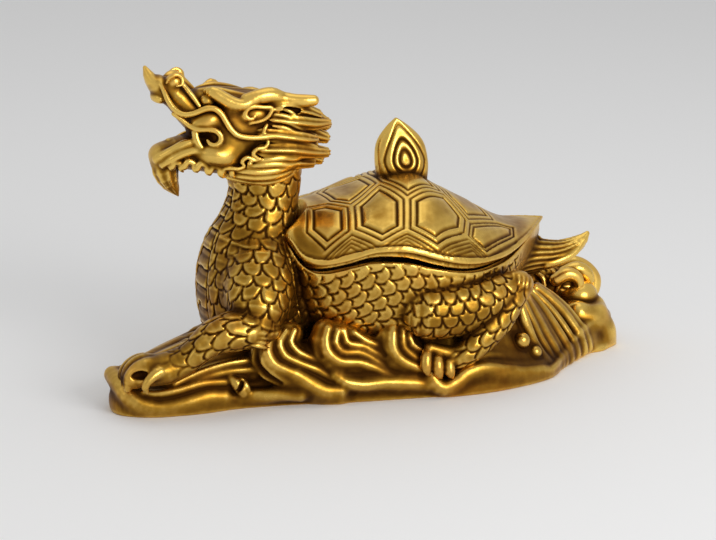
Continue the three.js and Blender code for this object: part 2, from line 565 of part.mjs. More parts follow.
// The crests of the waves, each [x, y, z] along its top.
const crests = [
  [[-42, -25, 24.5], [-45.4, -28, 20], [-44, -29.5, 16], [-38.9, -30.5, 12.6], [-31, -32, 7.6],
    [-23, -33, 4.6]],
  [[-39.4, -25.6, 22.6], [-38.7, -28.5, 18.4], [-33.1, -30, 14.6], [-25.3, -32, 8.4]],
  [[-25.9, -27, 23], [-26.8, -29.6, 19.4], [-24.4, -31, 16], [-16, -32.6, 13.8], [-6, -34, 8.6]],
  [[-22, -28, 21.8], [-17.3, -31, 18], [-10, -32.4, 16.4], [-4, -34, 12]],
  [[-3.4, -30, 21.6], [-4.4, -32.6, 16.4], [-1.2, -34, 12.6], [4, -35.4, 9.8]],
  [[-22, -31.6, 8.6], [-10, -33.6, 7.4], [0, -34.8, 7], [6, -35.4, 6]],
  [[-92, -11, 12], [-90.2, -19, 7.6], [-82, -23.6, 5.2], [-70, -24.4, 6.8], [-59, -24.4, 6.4]],
  [[-76, -26, 9.8], [-68.5, -26.2, 11.8], [-58, -26, 12], [-50, -26.6, 15]],
  [[-53, -25, 5.2], [-46.8, -27, 5], [-38.3, -28.6, 4.4]],
  [[9.4, -35.6, 6.6], [12, -37.6, 4.2], [20, -38, 7.8], [29, -37.4, 8.6], [38, -35.4, 6], [51, -30, 4]],
  [[21.7, -35, 9.8], [28.3, -33.6, 11.4], [38.8, -30.6, 8], [48, -27, 5]],
  [[49.6, -20, 26], [55.8, -20.6, 18.6], [62.4, -19.4, 10.4], [64, -19, 4]],
  [[57, -14, 22.6], [65, -13, 14], [70, -12.6, 6]],
  [[-40, 27, 20], [-34, 29, 14], [-24, 31, 8]],
  [[-18, 27, 20], [-16, 29.6, 14], [-4, 31.4, 7]],
  [[6, 27, 20], [8, 29.6, 14], [20, 31.4, 6]],
];

function base() {
  const rock = skin(4, 10, (share, angle, row) => {
    const [height, spread] = [[16.6, 0], [16.2, 0.86], [3, 1], [0, 0]][Math.min(row, 3)];
    const round = (value) => Math.sign(value) * Math.abs(value) ** 0.6;
    const x = 83.4 + 11.4 * spread * round(Math.cos(angle));
    const z = row === 4 ? 0 : height;
    const y = 5 + 11 * spread * round(Math.sin(angle)) + (x - 83.4) * 0.3;
    return new THREE.Vector3(x, y, z).multiplyScalar(u);
  });
  const crestLimb = (points) => limb(points.map(([x, y, z]) => [x, y + 0.6 * Math.sign(-y), z - 1, 2.4, 2.8]),
    { rows: 4, around: 4, blunt: 4 });
  return [
    groundSwell(), rock, ...crests.map(crestLimb),
    limb([[-57.6, -24.6, 11, 2, 2], [-55.3, -26, 8.4, 2.2, 2], [-53.4, -26.4, 5, 1.6, 1.6]],
      { rows: 4, around: 4 }),
    ellipsoid([44, -23, 9], [9, 6, 8], { rows: 4, around: 6 }),
    ellipsoid([83, 9, 18], [7.6, 7, 6], { rows: 4, around: 6 }),
    ellipsoid([43.3, -28, 13.8], [2.7, 2.7, 2.7], { rows: 4, around: 6 }),
    ellipsoid([50.4, -25.4, 8], [2.6, 2.6, 2.6], { rows: 4, around: 6 }),
  ];
}

function makeBody() {
  const trunk = hull({
    around: 34, inset: rimInset, floor: trunkFloor * u, top: trunkTop, scales: scaleRelief,
  });
  const hollow = solid(hull({
    around: bowlSides, inset: bowlInset, floor: bowlFloorThickness, top: bowlTop, scales: 0,
  })).subtract(columnSolid(bowlWall));
  const lidSpace = solid(domeSolid({
    rings: domeRings, around: domeSides, grow: lidClearance, drop: rimGap,
  })).subtract(columnSolid(0));
  const neck = limb(neckStations, {
    rows: 15, around: 16, scales: scaleRelief, lean: -0.3, bands: bellyPlates, blunt: 12,
  });
  return union([trunk, neck, ...base(), ...rightForeleg(), ...leftForeleg(), ...rightHindLeg(),
    ...leftHindLeg(), tail(), ...head()])
    .subtract(mouthHollow())
    .subtract(lidSpace)
    .subtract(hollow);
}

// Materials
const brass = new THREE.MeshStandardMaterial({ color: 0xb8923f, roughness: 0.34, metalness: 1 });
const lidBrass = new THREE.MeshStandardMaterial({ color: 0xad8a3c, roughness: 0.38, metalness: 1 });

function meshOf(name, piece, material) {
  const { numProp, vertProperties, triVerts } = piece.getMesh();
  const position = new Float32Array((vertProperties.length / numProp) * 3);
  for (let i = 0; i < position.length / 3; i += 1) {
    for (let axis = 0; axis < 3; axis += 1) position[i * 3 + axis] = vertProperties[i * numProp + axis];
  }
  const geometry = new THREE.BufferGeometry();
  geometry.setAttribute('position', new THREE.BufferAttribute(position, 3));
  geometry.setIndex(new THREE.BufferAttribute(new Uint32Array(triVerts), 1));
  geometry.computeVertexNormals();
  const mesh = new THREE.Mesh(geometry, material);
  mesh.name = name;
  return mesh;
}

const group = new THREE.Group();
group.name = 'dragon_turtle';
group.add(meshOf('body', makeBody(), brass));
group.add(meshOf('shell_lid', makeLid(), lidBrass));

// The origin lies under the middle of the whole figure.
const extent = new THREE.Box3().setFromObject(group);
group.position.set(-(extent.min.x + extent.max.x) / 2, -(extent.min.y + extent.max.y) / 2, 0);

export default group;
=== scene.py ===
# A cast brass dragon turtle incense box, sculpted over the frame of its CAD model.
# The figure is drawn in millimetres, walking toward -X with its right side at -Y and its base at z = 0,
# and is set to the frame's size and place in metres at the end. The frame's lid lifts off the bowl.
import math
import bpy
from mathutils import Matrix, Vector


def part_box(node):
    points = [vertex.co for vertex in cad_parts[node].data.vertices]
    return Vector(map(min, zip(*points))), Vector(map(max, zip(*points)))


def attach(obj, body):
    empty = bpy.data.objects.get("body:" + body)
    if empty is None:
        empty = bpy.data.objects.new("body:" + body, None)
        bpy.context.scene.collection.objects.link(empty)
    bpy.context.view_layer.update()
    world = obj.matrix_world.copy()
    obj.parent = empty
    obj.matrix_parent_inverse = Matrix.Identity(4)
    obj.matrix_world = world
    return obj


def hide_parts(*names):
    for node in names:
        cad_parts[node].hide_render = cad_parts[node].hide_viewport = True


bl_info = {
    "name": "Dragon turtle incense box",
    "version": (1, 0, 0),
    "blender": (4, 5, 0),
    "location": "View3D > Sidebar > Dragon Turtle",
    "description": "Sculpts a cast brass dragon turtle incense box with a lift-off shell",
    "category": "Add Mesh",
}

import bpy
import numpy as np
import openvdb
from mathutils import Vector

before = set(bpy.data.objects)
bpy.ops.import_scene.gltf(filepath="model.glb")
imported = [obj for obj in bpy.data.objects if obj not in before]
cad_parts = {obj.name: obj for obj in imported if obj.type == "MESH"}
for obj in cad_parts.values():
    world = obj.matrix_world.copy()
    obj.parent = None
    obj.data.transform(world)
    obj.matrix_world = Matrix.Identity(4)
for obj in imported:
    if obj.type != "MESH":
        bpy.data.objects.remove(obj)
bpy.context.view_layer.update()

# How the drawing lies in the frame: its extent from the base's front tip to the rock behind
DRAWN_LOW_X = -95
DRAWN_HIGH_X = 95.4
FIGURE_LOW, FIGURE_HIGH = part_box("body")
LID_LOW, LID_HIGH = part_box("shell_lid")
METRES = (FIGURE_HIGH[0] - FIGURE_LOW[0]) / (DRAWN_HIGH_X - DRAWN_LOW_X)
OFFSET = (
    FIGURE_LOW[0] - DRAWN_LOW_X * METRES,
    (LID_LOW[1] + LID_HIGH[1]) / 2,
    FIGURE_LOW[2],
)
MM = 0.001


# Sculpting in a block of distances, in drawn millimetres: negative inside the metal and positive outside it
FAR = 5.0
# How far beyond its surface a shape is worked out, and where a limb's relief begins and ends to fade
MARGIN = 2.5
RELIEF_FULL = 1.2
RELIEF_GONE = 2.4
# How far the left half of the muzzle is set back at the most
SIDE_LAG = 4.5


def smooth_path(stations, spacing):
    """Points along a smooth curve through stations of any width, about one spacing apart."""
    stations = np.array(stations, float)
    chords = np.linalg.norm(np.diff(stations[:, :3], axis=0), axis=1)
    lengths = np.concatenate([[0], np.cumsum(chords)])
    slopes = np.gradient(stations, lengths, axis=0)
    count = max(int(round(lengths[-1] / spacing)), 2) + 1
    at = np.linspace(0, lengths[-1], count)
    first = np.clip(np.searchsorted(lengths, at, "right") - 1, 0, len(lengths) - 2)
    span = (lengths[first + 1] - lengths[first])[:, None]
    t = (at[:, None] - lengths[first][:, None]) / span
    start = (2 * t**3 - 3 * t**2 + 1) * stations[first] + (t**3 - 2 * t**2 + t) * span * slopes[first]
    end = (3 * t**2 - 2 * t**3) * stations[first + 1] + (t**3 - t**2) * span * slopes[first + 1]
    return start + end


def profile(pairs):
    """A smooth curve of heights through a few (x, height) pairs, level beyond its ends."""
    xs, heights = np.array(pairs, float).T
    slopes = np.empty_like(heights)
    slopes[1:-1] = (heights[2:] - heights[:-2]) / (xs[2:] - xs[:-2])
    slopes[0] = (heights[1] - heights[0]) / (xs[1] - xs[0])
    slopes[-1] = (heights[-1] - heights[-2]) / (xs[-1] - xs[-2])

    def height(x):
        x = np.clip(x, xs[0], xs[-1])
        i = np.clip(np.searchsorted(xs, x, "right") - 1, 0, len(xs) - 2)
        span = xs[i + 1] - xs[i]
        t = (x - xs[i]) / span
        share = 3 * t**2 - 2 * t**3
        level = heights[i] + (heights[i + 1] - heights[i]) * share
        return level + ((t**3 - 2 * t**2 + t) * slopes[i] + (t**3 - t**2) * slopes[i + 1]) * span

    return height


def ramp(low, high, value):
    """A smooth step from 0 at low to 1 at high."""
    share = np.clip((value - low) / (high - low), 0, 1)
    return share * share * (3 - 2 * share)


def bell(gap, height, width):
    """A smooth hump that falls from its height in the middle to almost nothing at twice its width."""
    return height * np.exp(-((gap / width) ** 2))


def blended(a, b, blend):
    """The nearer of two distances, with a fillet of about the blend where they meet."""
    overlap = np.maximum(blend - np.abs(a - b), 0)
    return np.minimum(a, b) - overlap * overlap * (0.25 / blend)


def box_of(low, high):
    return np.array(low, float), np.array(high, float)


class Clay:
    """A block of distances that shapes are joined to and cut from.

    Where it has a drawn_back function, each place shows what was drawn that much nearer the muzzle."""

    def __init__(self, low, high, step, drawn_back=None):
        self.drawn_back = drawn_back
        self.low = np.array(low, float)
        self.step = step
        counts = [int(math.ceil((b - a) / step)) + 1 for a, b in zip(low, high)]
        self.field = np.full(counts, FAR, np.float32)

    def window(self, low, high):
        """The cells between two corners, and their places along the three axes."""
        slices = []
        axes = []
        if self.drawn_back:
            high = [high[0] + SIDE_LAG, *high[1:]]
        for a, b, start, count in zip(low, high, self.low, self.field.shape):
            first = min(max(int((a - start) / self.step), 0), count)
            last = min(max(int((b - start) / self.step) + 2, first), count)
            slices.append(slice(first, last))
            axes.append((start + self.step * np.arange(first, last)).astype(np.float32))
        x, y, z = axes[0][:, None, None], axes[1][None, :, None], axes[2][None, None, :]
        if self.drawn_back:
            x = x - self.drawn_back(x, y)
        return self.field[tuple(slices)], (x, y, z)

    def add(self, shape, blend=0.5):
        cells, place = self.window(*shape.box())
        if cells.size:
            cells[...] = blended(cells, shape.distance(*place), blend)

    def cut(self, shape, blend=0.4):
        cells, place = self.window(*shape.box())
        if cells.size:
            cells[...] = -blended(-cells, shape.distance(*place), blend)

    def add_all(self, parts):
        """Joins shapes in turn, each with the size of its fillet."""
        for shape, blend in parts:
            self.add(shape, blend)

    def cut_all(self, parts):
        """Cuts shapes in turn, each with the size of its rounding."""
        for shape, blend in parts:
            self.cut(shape, blend)

    def spread(self, radius):
        """The distances averaged over a cube of about the radius each way."""
        reach = max(int(round(radius / self.step)), 1)
        block = np.clip(self.field, -radius, radius)
        for axis in range(3):
            edge = [(0, 0)] * 3
            edge[axis] = (reach + 1, reach)
            total = np.cumsum(np.pad(block, edge, "edge"), axis=axis, dtype=np.float32)
            size = 2 * reach + 1
            high = [slice(None)] * 3
            low = [slice(None)] * 3
            high[axis] = slice(size, None)
            low[axis] = slice(None, -size)
            block = (total[tuple(high)] - total[tuple(low)]) / size
        return block

    def sample(self, block, points):
        """A block's values at points, by the eight cells round each."""
        place = (points - self.low) / self.step
        base = np.clip(place.astype(int), 0, np.array(block.shape) - 2)
        share = np.clip(place - base, 0, 1)
        value = np.zeros(len(points))
        for corner in range(8):
            picks = [(corner >> axis) & 1 for axis in range(3)]
            weight = np.prod([share[:, k] if picks[k] else 1 - share[:, k] for k in range(3)], axis=0)
            value += weight * block[base[:, 0] + picks[0], base[:, 1] + picks[1], base[:, 2] + picks[2]]
        return value


class Ball:
    """An ellipsoid, turned about the crosswise axis by its pitch in degrees."""

    def __init__(self, centre, halves, pitch=0):
        self.centre = np.array(centre, float)
        self.halves = np.array(halves, float)
        self.pitch = math.radians(pitch)

    def box(self):
        reach = max(self.halves[0], self.halves[2]) if self.pitch else None
        halves = np.array([reach or self.halves[0], self.halves[1], reach or self.halves[2]])
        return self.centre - halves - MARGIN, self.centre + halves + MARGIN

    def distance(self, x, y, z):
        x = x - self.centre[0]
        y = y - self.centre[1]
        z = z - self.centre[2]
        along = x * math.cos(self.pitch) - z * math.sin(self.pitch)
        upward = x * math.sin(self.pitch) + z * math.cos(self.pitch)
        a, b, c = self.halves
        near = np.sqrt((along / a) ** 2 + (y / b) ** 2 + (upward / c) ** 2)
        slope = np.sqrt((along / a**2) ** 2 + (y / b**2) ** 2 + (upward / c**2) ** 2)
        return near * (near - 1) / np.maximum(slope, 1e-6)


class Strand:
    """A round cord of metal along a smooth curve through (x, y, z, radius) stations."""

    def __init__(self, stations, spacing=1.2):
        self.path = smooth_path(stations, spacing)

    def box(self):
        reach = self.path[:, 3:4] + MARGIN
        return (self.path[:, :3] - reach).min(axis=0), (self.path[:, :3] + reach).max(axis=0)

    def distance(self, x, y, z):
        nearest = None
        for start, end in zip(self.path[:-1], self.path[1:]):
            run = end - start
            length = max(float(run[:3] @ run[:3]), 1e-9)
            px, py, pz = x - start[0], y - start[1], z - start[2]
            t = np.clip((px * run[0] + py * run[1] + pz * run[2]) / length, 0, 1).astype(np.float32)
            gap = np.sqrt((px - t * run[0]) ** 2 + (py - t * run[1]) ** 2 + (pz - t * run[2]) ** 2)
            gap -= start[3] + t * run[3]
            nearest = gap if nearest is None else np.minimum(nearest, gap)
        return nearest


class Limb:
    """A limb with oval sections along (x, y, z, half-width, half-depth) stations.

    Its half-width lies across the figure. The relief is a function of the distance along the limb, the
    angle from the limb's outer side, and its two half-sizes there, and raises the surface."""

    def __init__(self, stations, side=-1, relief=None, front=False, cap=None, spacing=2.4):
        self.path = smooth_path(stations, spacing)
        self.path[:, 3:] = np.maximum(self.path[:, 3:], 0.3)
        self.side = side
        self.relief = relief
        self.front = front
        steps = np.diff(self.path[:, :3], axis=0)
        self.along = np.concatenate([[0], np.cumsum(np.linalg.norm(steps, axis=1))])
        tangent = np.gradient(self.path[:, :3], axis=0)
        tangent /= np.linalg.norm(tangent, axis=1, keepdims=True)
        across = np.array([0, 1, 0]) - tangent * tangent[:, 1:2]
        across /= np.linalg.norm(across, axis=1, keepdims=True)
        self.frames = np.hstack([tangent, across, np.cross(tangent, across)])
        self.cap = cap

    def box(self):
        reach = self.path[:, 3:].max(axis=1)[:, None] + MARGIN
        return (self.path[:, :3] - reach).min(axis=0), (self.path[:, :3] + reach).max(axis=0)

    def distance(self, x, y, z):
        nearest = None
        for i, (start, end) in enumerate(zip(self.path[:-1, :3], self.path[1:, :3])):
            run = end - start
            px, py, pz = x - start[0], y - start[1], z - start[2]
            t = np.clip((px * run[0] + py * run[1] + pz * run[2]) / float(run @ run), 0, 1).astype(np.float32)
            gap = (px - t * run[0]) ** 2 + (py - t * run[1]) ** 2 + (pz - t * run[2]) ** 2
            if nearest is None:
                nearest, share = gap, t
            else:
                closer = gap < nearest
                nearest = np.where(closer, gap, nearest)
                share = np.where(closer, t + i, share)
        whole = np.full(nearest.shape, FAR, np.float32)
        reach = self.path[:, 3:].max() + MARGIN
        near = nearest < reach * reach
        if not near.any():
            return whole
        share = share[near]
        offset = [np.broadcast_to(axis, near.shape)[near] for axis in (x, y, z)]
        first = np.clip(share.astype(int), 0, len(self.path) - 2)
        t = share - first
        here = self.path[first] + (self.path[first + 1] - self.path[first]) * t[:, None]
        frames = self.frames[first] + (self.frames[first + 1] - self.frames[first]) * t[:, None]
        offset = np.stack(offset, axis=1) - here[:, :3]
        lengthwise = (offset * frames[:, 0:3]).sum(axis=1)
        sideways = (offset * frames[:, 3:6]).sum(axis=1)
        upward = (offset * frames[:, 6:9]).sum(axis=1)
        wide, deep = here[:, 3], here[:, 4]
        cap = np.minimum(wide, deep) if self.cap is None else self.cap
        k = np.sqrt((sideways / wide) ** 2 + (upward / deep) ** 2 + (lengthwise / cap) ** 2)
        slope = np.sqrt((sideways / wide**2) ** 2 + (upward / deep**2) ** 2 + (lengthwise / cap**2) ** 2)
        gap = k * (k - 1) / np.maximum(slope, 1e-6)
        if self.relief:
            if self.front:
                angle = np.arctan2(sideways, upward)
            else:
                angle = np.arctan2(upward, self.side * sideways)
            along = np.interp(share, np.arange(len(self.along)), self.along)
            shallow = ramp(RELIEF_GONE, RELIEF_FULL, np.abs(gap))
            gap = gap - self.relief(along, angle, wide, deep) * shallow
        whole[near] = gap
        return whole


# The turtle's shell in plan and in height, as drawn
SHELL_CENTRE = 10
SHELL_FRONT = 47
SHELL_REAR = 54
SHELL_HALF_WIDTH = 38.5
FRONT_ROUNDNESS = 0.75
REAR_ROUNDNESS = 2
TIP_INSET = 1.3
LIP_HEIGHT = 0.9
RIM_INSET = 1
BOWL_WALL = 3
BOWL_FLOOR = 17
LID_WALL = 2.6
LID_CLEARANCE = 0.6
SEAT_GAP = 0.35
SLOT_HEIGHT = 3
BELLY = 20
TRUNK_FLOOR = 12
TRUNK_RISE = 0.4
NECK_HOLE = (-38, 13.4)

rim_height = profile([
    (-37, 54), (-34.5, 51.5), (-32, 46.8), (-29, 45.2), (-25.8, 45.4), (-18, 47.8), (-12, 49.9), (-5.5, 50.3),
    (1, 49.5), (10, 46.6), (18, 44.5), (25, 43.5), (32, 43.4), (38.5, 43.7), (46, 45), (52, 46.1),
    (58.5, 47.6), (64, 48.5),
])
ridge_height = profile([
    (-37, 56), (-34, 59), (-30, 60), (-24, 60.6), (-17, 61.8), (-9, 63.4), (-1, 66.4), (11, 68.8), (20, 64.8),
    (28, 60.2), (36, 56), (44, 51.6), (50, 49.2), (56, 48.4), (64, 48.7),
])
slot_shape = profile([
    (-35, 0), (-28, 0.72), (-18, 0.8), (-6, 1.08), (4, 1.08), (14, 0.85), (26, 0.7), (42, 0.4), (52, 0),
])


def shell_width(x, inset=0.0, wide=1.0, rear=1.0):
    """The half-width of the shell's outline at x, narrowed and shortened as the hull is toward its belly."""
    reach = np.where(x > SHELL_CENTRE, (SHELL_REAR - inset * TIP_INSET) * rear, (SHELL_FRONT - inset) * wide)
    share = np.clip(np.abs(x - SHELL_CENTRE) / reach, 0, 1)
    roundness = np.where(x > SHELL_CENTRE, REAR_ROUNDNESS, FRONT_ROUNDNESS)
    return (SHELL_HALF_WIDTH - inset) * wide * np.sqrt(1 - share**2) ** roundness


def dome_height(x, y):
    width = np.maximum(shell_width(x), 1e-3)
    share = np.clip(np.abs(y) / width, 0, 1)
    rise = (1 - share**2.3) ** 0.85
    return rim_height(x) + LIP_HEIGHT + (ridge_height(x) - rim_height(x)) * rise


def outline_distance(x, y, inset):
    """How far a place lies outside the shell's plan outline, moved inward by the inset."""
    flat = x.reshape(-1).astype(float)
    width = shell_width(flat, inset)
    slope = np.gradient(width, flat)
    norm = np.sqrt(1 + slope**2)
    shaped = (width / norm)[:, None, None].astype(np.float32)
    norm = norm[:, None, None].astype(np.float32)
    beside = np.abs(y) / norm - shaped
    front = (SHELL_CENTRE - x) - (SHELL_FRONT - inset)
    back = (x - SHELL_CENTRE) - (SHELL_REAR - inset * TIP_INSET)
    return np.maximum(beside, np.maximum(front, back))


class NeckColumn:
    """The round column the neck takes up through the lid's front, grown by a distance."""

    def __init__(self, grow, low, high):
        self.radius = NECK_HOLE[1] + grow
        self.corners = box_of(low, high)

    def box(self):
        return self.corners

    def distance(self, x, y, z):
        return np.sqrt((x - NECK_HOLE[0]) ** 2 + y**2) - self.radius + 0 * z


# The hull under the rim: shares of the way down to the belly, of the half-width and of the rear reach
HULL_DOWN = [-0.1, 0.12, 0.26, 0.4, 0.54, 0.68, 0.82, 1, 1.15, 1.4]
HULL_WIDE = [1, 1, 0.99, 0.98, 0.965, 0.94, 0.9, 0.81, 0.6, 0.3]
HULL_REAR = [1, 1, 0.98, 0.94, 0.89, 0.83, 0.77, 0.68, 0.5, 0.3]
HULL_CORNERS = ((-40, -42, 9), (66, 42, 58))


class Trunk:
    """The turtle's body below the shell's rim, with its scales where they are given."""

    def __init__(self, inset, top, floor, relief=None):
        self.inset = inset
        self.top = top
        self.floor = floor
        self.relief = relief

    def box(self):
        return box_of(*HULL_CORNERS)

    def distance(self, x, y, z):
        across = x.reshape(-1).astype(float)
        height = z.reshape(-1).astype(float)
        plan_x, plan_z = np.meshgrid(across, height, indexing="ij")
        rim = rim_height(plan_x)
        down = (rim - plan_z) / (rim - BELLY)
        wide = np.interp(down, HULL_DOWN, HULL_WIDE)
        rear = np.interp(down, HULL_DOWN, HULL_REAR)
        width = shell_width(plan_x, self.inset, wide, rear)
        slope_x, slope_z = np.gradient(width, across, height)
        norm = np.sqrt(1 + slope_x**2 + slope_z**2)
        raised = 0 if self.relief is None else self.relief(plan_x, rim - plan_z)
        shaped = (width / norm + raised).astype(np.float32)[:, None, :]
        norm = norm.astype(np.float32)[:, None, :]
        beside = np.abs(y) / norm - shaped
        front = (SHELL_CENTRE - x) - (SHELL_FRONT - self.inset)
        back = (x - SHELL_CENTRE) - (SHELL_REAR - self.inset * TIP_INSET)
        above = z - (rim_height(x.reshape(-1)) + self.top)[:, None, None].astype(np.float32)
        around = np.maximum(beside, np.maximum(front, back))
        return np.maximum(around, np.maximum(above, self.floor - z))


class LidSpace:
    """The room over the bowl that the lid and the slot under its rim take up."""

    def box(self):
        return box_of((-40, -42, 40), (68, 42, 84))

    def distance(self, x, y, z):
        flat = x.reshape(-1).astype(float)
        under = (rim_height(flat) - SEAT_GAP - SLOT_HEIGHT * slot_shape(flat))[:, None, None]
        beyond = outline_distance(x, y, -LID_CLEARANCE)
        column = NECK_HOLE[1] - np.sqrt((x - NECK_HOLE[0]) ** 2 + y**2)
        return np.maximum(np.maximum(beyond, under.astype(np.float32) - z), column)


class BowlHollow:
    """The hollow that holds the incense."""

    def box(self):
        return box_of((-38, -38, 15), (62, 38, 58))

    def distance(self, x, y, z):
        inside = Trunk(RIM_INSET + BOWL_WALL, 6, BOWL_FLOOR).distance(x, y, z)
        column = NECK_HOLE[1] + BOWL_WALL - np.sqrt((x - NECK_HOLE[0]) ** 2 + y**2)
        return np.maximum(inside, column)


# Relief: heights that raise the surface, from places along and across it in millimetres
SCALE_SPAN = 2.0
SCALE_SHOULDER = 0.44
SCALE_GROOVE = 0.5
# A scale's height at its root, its rise to the tip, its crown and its unevenness, in shares of its depth
SCALE_ROOT = 0.3
SCALE_RISE = 0.5
SCALE_CROWN = 0.22
SCALE_UNEVEN = 0.08
# How far the scales' feet are sunk in the surface that they lie on
SCALE_SINK = 0.3


def fish_scales(along, across, pitch, width, depth):
    """Overlapping scales whose rounded tips point along, each with an engraved edge."""
    along, across = (
        along + 0.3 * np.sin(across * 0.83 + along * 0.21),
        across + 0.35 * np.sin(along * 0.61 + across * 0.17),
    )
    row = np.floor(along / pitch)
    height = 0
    for behind in range(2):
        owner = row - behind
        share = (along / pitch - owner) / SCALE_SPAN
        middle = across / width - 0.5 * (owner % 2)
        column = np.round(middle)
        aside = 2 * np.abs(middle - column)
        beyond = np.maximum(share - SCALE_SHOULDER, 0) / (1 - SCALE_SHOULDER)
        inside = 1 - aside**2.3 - beyond**2
        uneven = SCALE_UNEVEN * np.sin(owner * 5.1 + column * 3.7)
        lobe = depth * (SCALE_ROOT + SCALE_RISE * share + uneven + SCALE_CROWN * ramp(0, 0.7, inside))
        if behind == 0:
            height = lobe
            continue
        cover = ramp(0, 0.16, inside)
        engraved = bell(inside + 0.13, SCALE_GROOVE, 0.2)
        height = height * (1 - cover) + lobe * cover - engraved
    return height


def hair(angle, count, depth, along=0.0, twist=0.0):
    """Grooves that run along a lock or a tail."""
    return -depth * (0.5 - 0.5 * np.cos(count * angle + twist * along)) ** 0.7


def hair_relief(count, depth, start, end, twist=0.0):
    """Grooves along a limb, that come in from the distance start to the distance end along it."""

    def relief(along, angle, wide, deep):
        return hair(angle, count, depth, along, twist) * ramp(start, end, along)

    return relief


HULL_SCALE_TURN = math.radians(24)
HULL_SCALE_PITCH = 3.7
HULL_SCALE_WIDTH = 6.3
# The flank is longer over its curve than its height is
FLANK_STRETCH = 1.08
# The x where the scales begin to fade under the shell's rear end, and where none are left
SCALES_FADE = 43
SCALES_END = 50
SMOOTH_BAND = 2.6
BAND_SWELL = 2.4
BAND_SWELL_X = 11


def hull_relief(settings):
    """The scales of the flanks, whose tips point down and to the tail, under a smooth band."""
    xs = np.linspace(-38, 65, 800)
    steps = np.sqrt(1 + np.gradient(shell_width(xs, 0, 0.97, 0.85), xs) ** 2)
    run = np.concatenate([[0], np.cumsum((steps[1:] + steps[:-1]) / 2 * np.diff(xs))])

    def relief(x, down):
        along = np.interp(x, xs, run)
        down = down * FLANK_STRETCH
        turned = along * math.cos(HULL_SCALE_TURN) + down * math.sin(HULL_SCALE_TURN)
        across = down * math.cos(HULL_SCALE_TURN) - along * math.sin(HULL_SCALE_TURN)
        height = fish_scales(turned, across, HULL_SCALE_PITCH, HULL_SCALE_WIDTH, settings.scale_depth / MM)
        band = SMOOTH_BAND + bell(x - BAND_SWELL_X, BAND_SWELL, 9) + 0.4 * np.sin(x * 1.1)
        fade = ramp(band, band + 1.2, down)
        return (height - SCALE_SINK) * fade * ramp(SCALES_END, SCALES_FADE, x)

    return relief


def limb_scales(settings, pitch, width, towards=1, start=0.0, crosswise=False):
    """Scales round a limb. Their tips point along it, back along it where towards is -1, or across it."""
    depth = settings.scale_depth / MM

    def relief(along, angle, wide, deep):
        around = angle * (wide + deep) / 2
        if crosswise:
            height = fish_scales(-around, along, pitch, width, depth) - SCALE_SINK
        else:
            height = fish_scales(along * towards, around, pitch, width, depth) - SCALE_SINK
        return height * ramp(start, start + 2, along) if start else height

    return relief


def on_side(side, stations):
    """Stations drawn for y > 0, set on one side of the figure."""
    return [(x, side * y, *rest) for x, y, *rest in stations]


RIGHT = -1
LEFT = 1
BOTH_SIDES = (RIGHT, LEFT)


# The neck and chest, from the waves up to the nape
NECK = [
    (-37, 0, 9, 18, 17), (-40, 0, 20, 22.5, 18), (-44, 0, 31, 25.5, 16.6), (-44.5, 0, 40, 23.5, 15.6),
    (-43.6, 0, 47, 18.6, 14.4), (-41.6, 0, 53, 15, 12.6), (-39.4, 0, 59.5, 12.6, 11.8),
    (-38.2, 0, 66, 11.6, 11.6), (-38, 0, 71, 11.6, 12.2), (-38.4, 0, 78, 12, 12.4), (-40, 0, 84, 11, 11),
]
# The half-angle of the strip of belly plates, up the throat and over the broad chest, and a plate's height
THROAT_STRIP = 0.2
CHEST_STRIP = 0.38
BELLY_PITCH = 4.6


def neck_relief(settings):
    """Scales round the neck and chest, and a strip of broad belly plates down the front."""
    depth = settings.scale_depth / MM
    skin = limb_scales(settings, 4.2, 6.5, towards=-1)

    def relief(along, angle, wide, deep):
        scales = skin(along, angle, wide, deep)
        phase = np.mod(-along / BELLY_PITCH + 0.25 * np.cos(angle * 2), 1)
        plates = depth * (1.3 * phase - 0.8) - bell(phase - 0.04, 0.4, 0.08)
        reach = THROAT_STRIP + (CHEST_STRIP - THROAT_STRIP) * ramp(14, 24, wide)
        strip = ramp(0.06, -0.06, np.abs(angle) - reach)
        edge = bell((np.abs(angle) - reach) * wide, 0.5, 0.7)
        return scales * (1 - strip) + plates * strip - edge

    return relief


def right_foreleg(settings):
    scales = limb_scales(settings, 4.3, 6.6)
    large = limb_scales(settings, 4.9, 5.8)
    upper = Limb([
        (-42, -8, 51, 5, 6), (-44, -15, 44, 8.5, 10), (-46.5, -20.5, 36, 9.6, 11),
        (-48.6, -24.4, 30.4, 8.4, 8.6), (-50, -26.6, 26.6, 6, 5.4),
    ], relief=scales)
    lower = Limb([
        (-46, -26, 26.6, 5.5, 4.6), (-52, -27.4, 26.8, 7, 5.8), (-58, -27.6, 26.8, 7.2, 6.2),
        (-64, -27, 25.2, 6.8, 5.2), (-69, -26, 21.2, 5.8, 4.3), (-74, -25, 17.6, 5.2, 4.3),
        (-79, -24.4, 15.8, 5, 4.4),
    ], relief=large)
    return [(upper, 3), (lower, 1.8)]


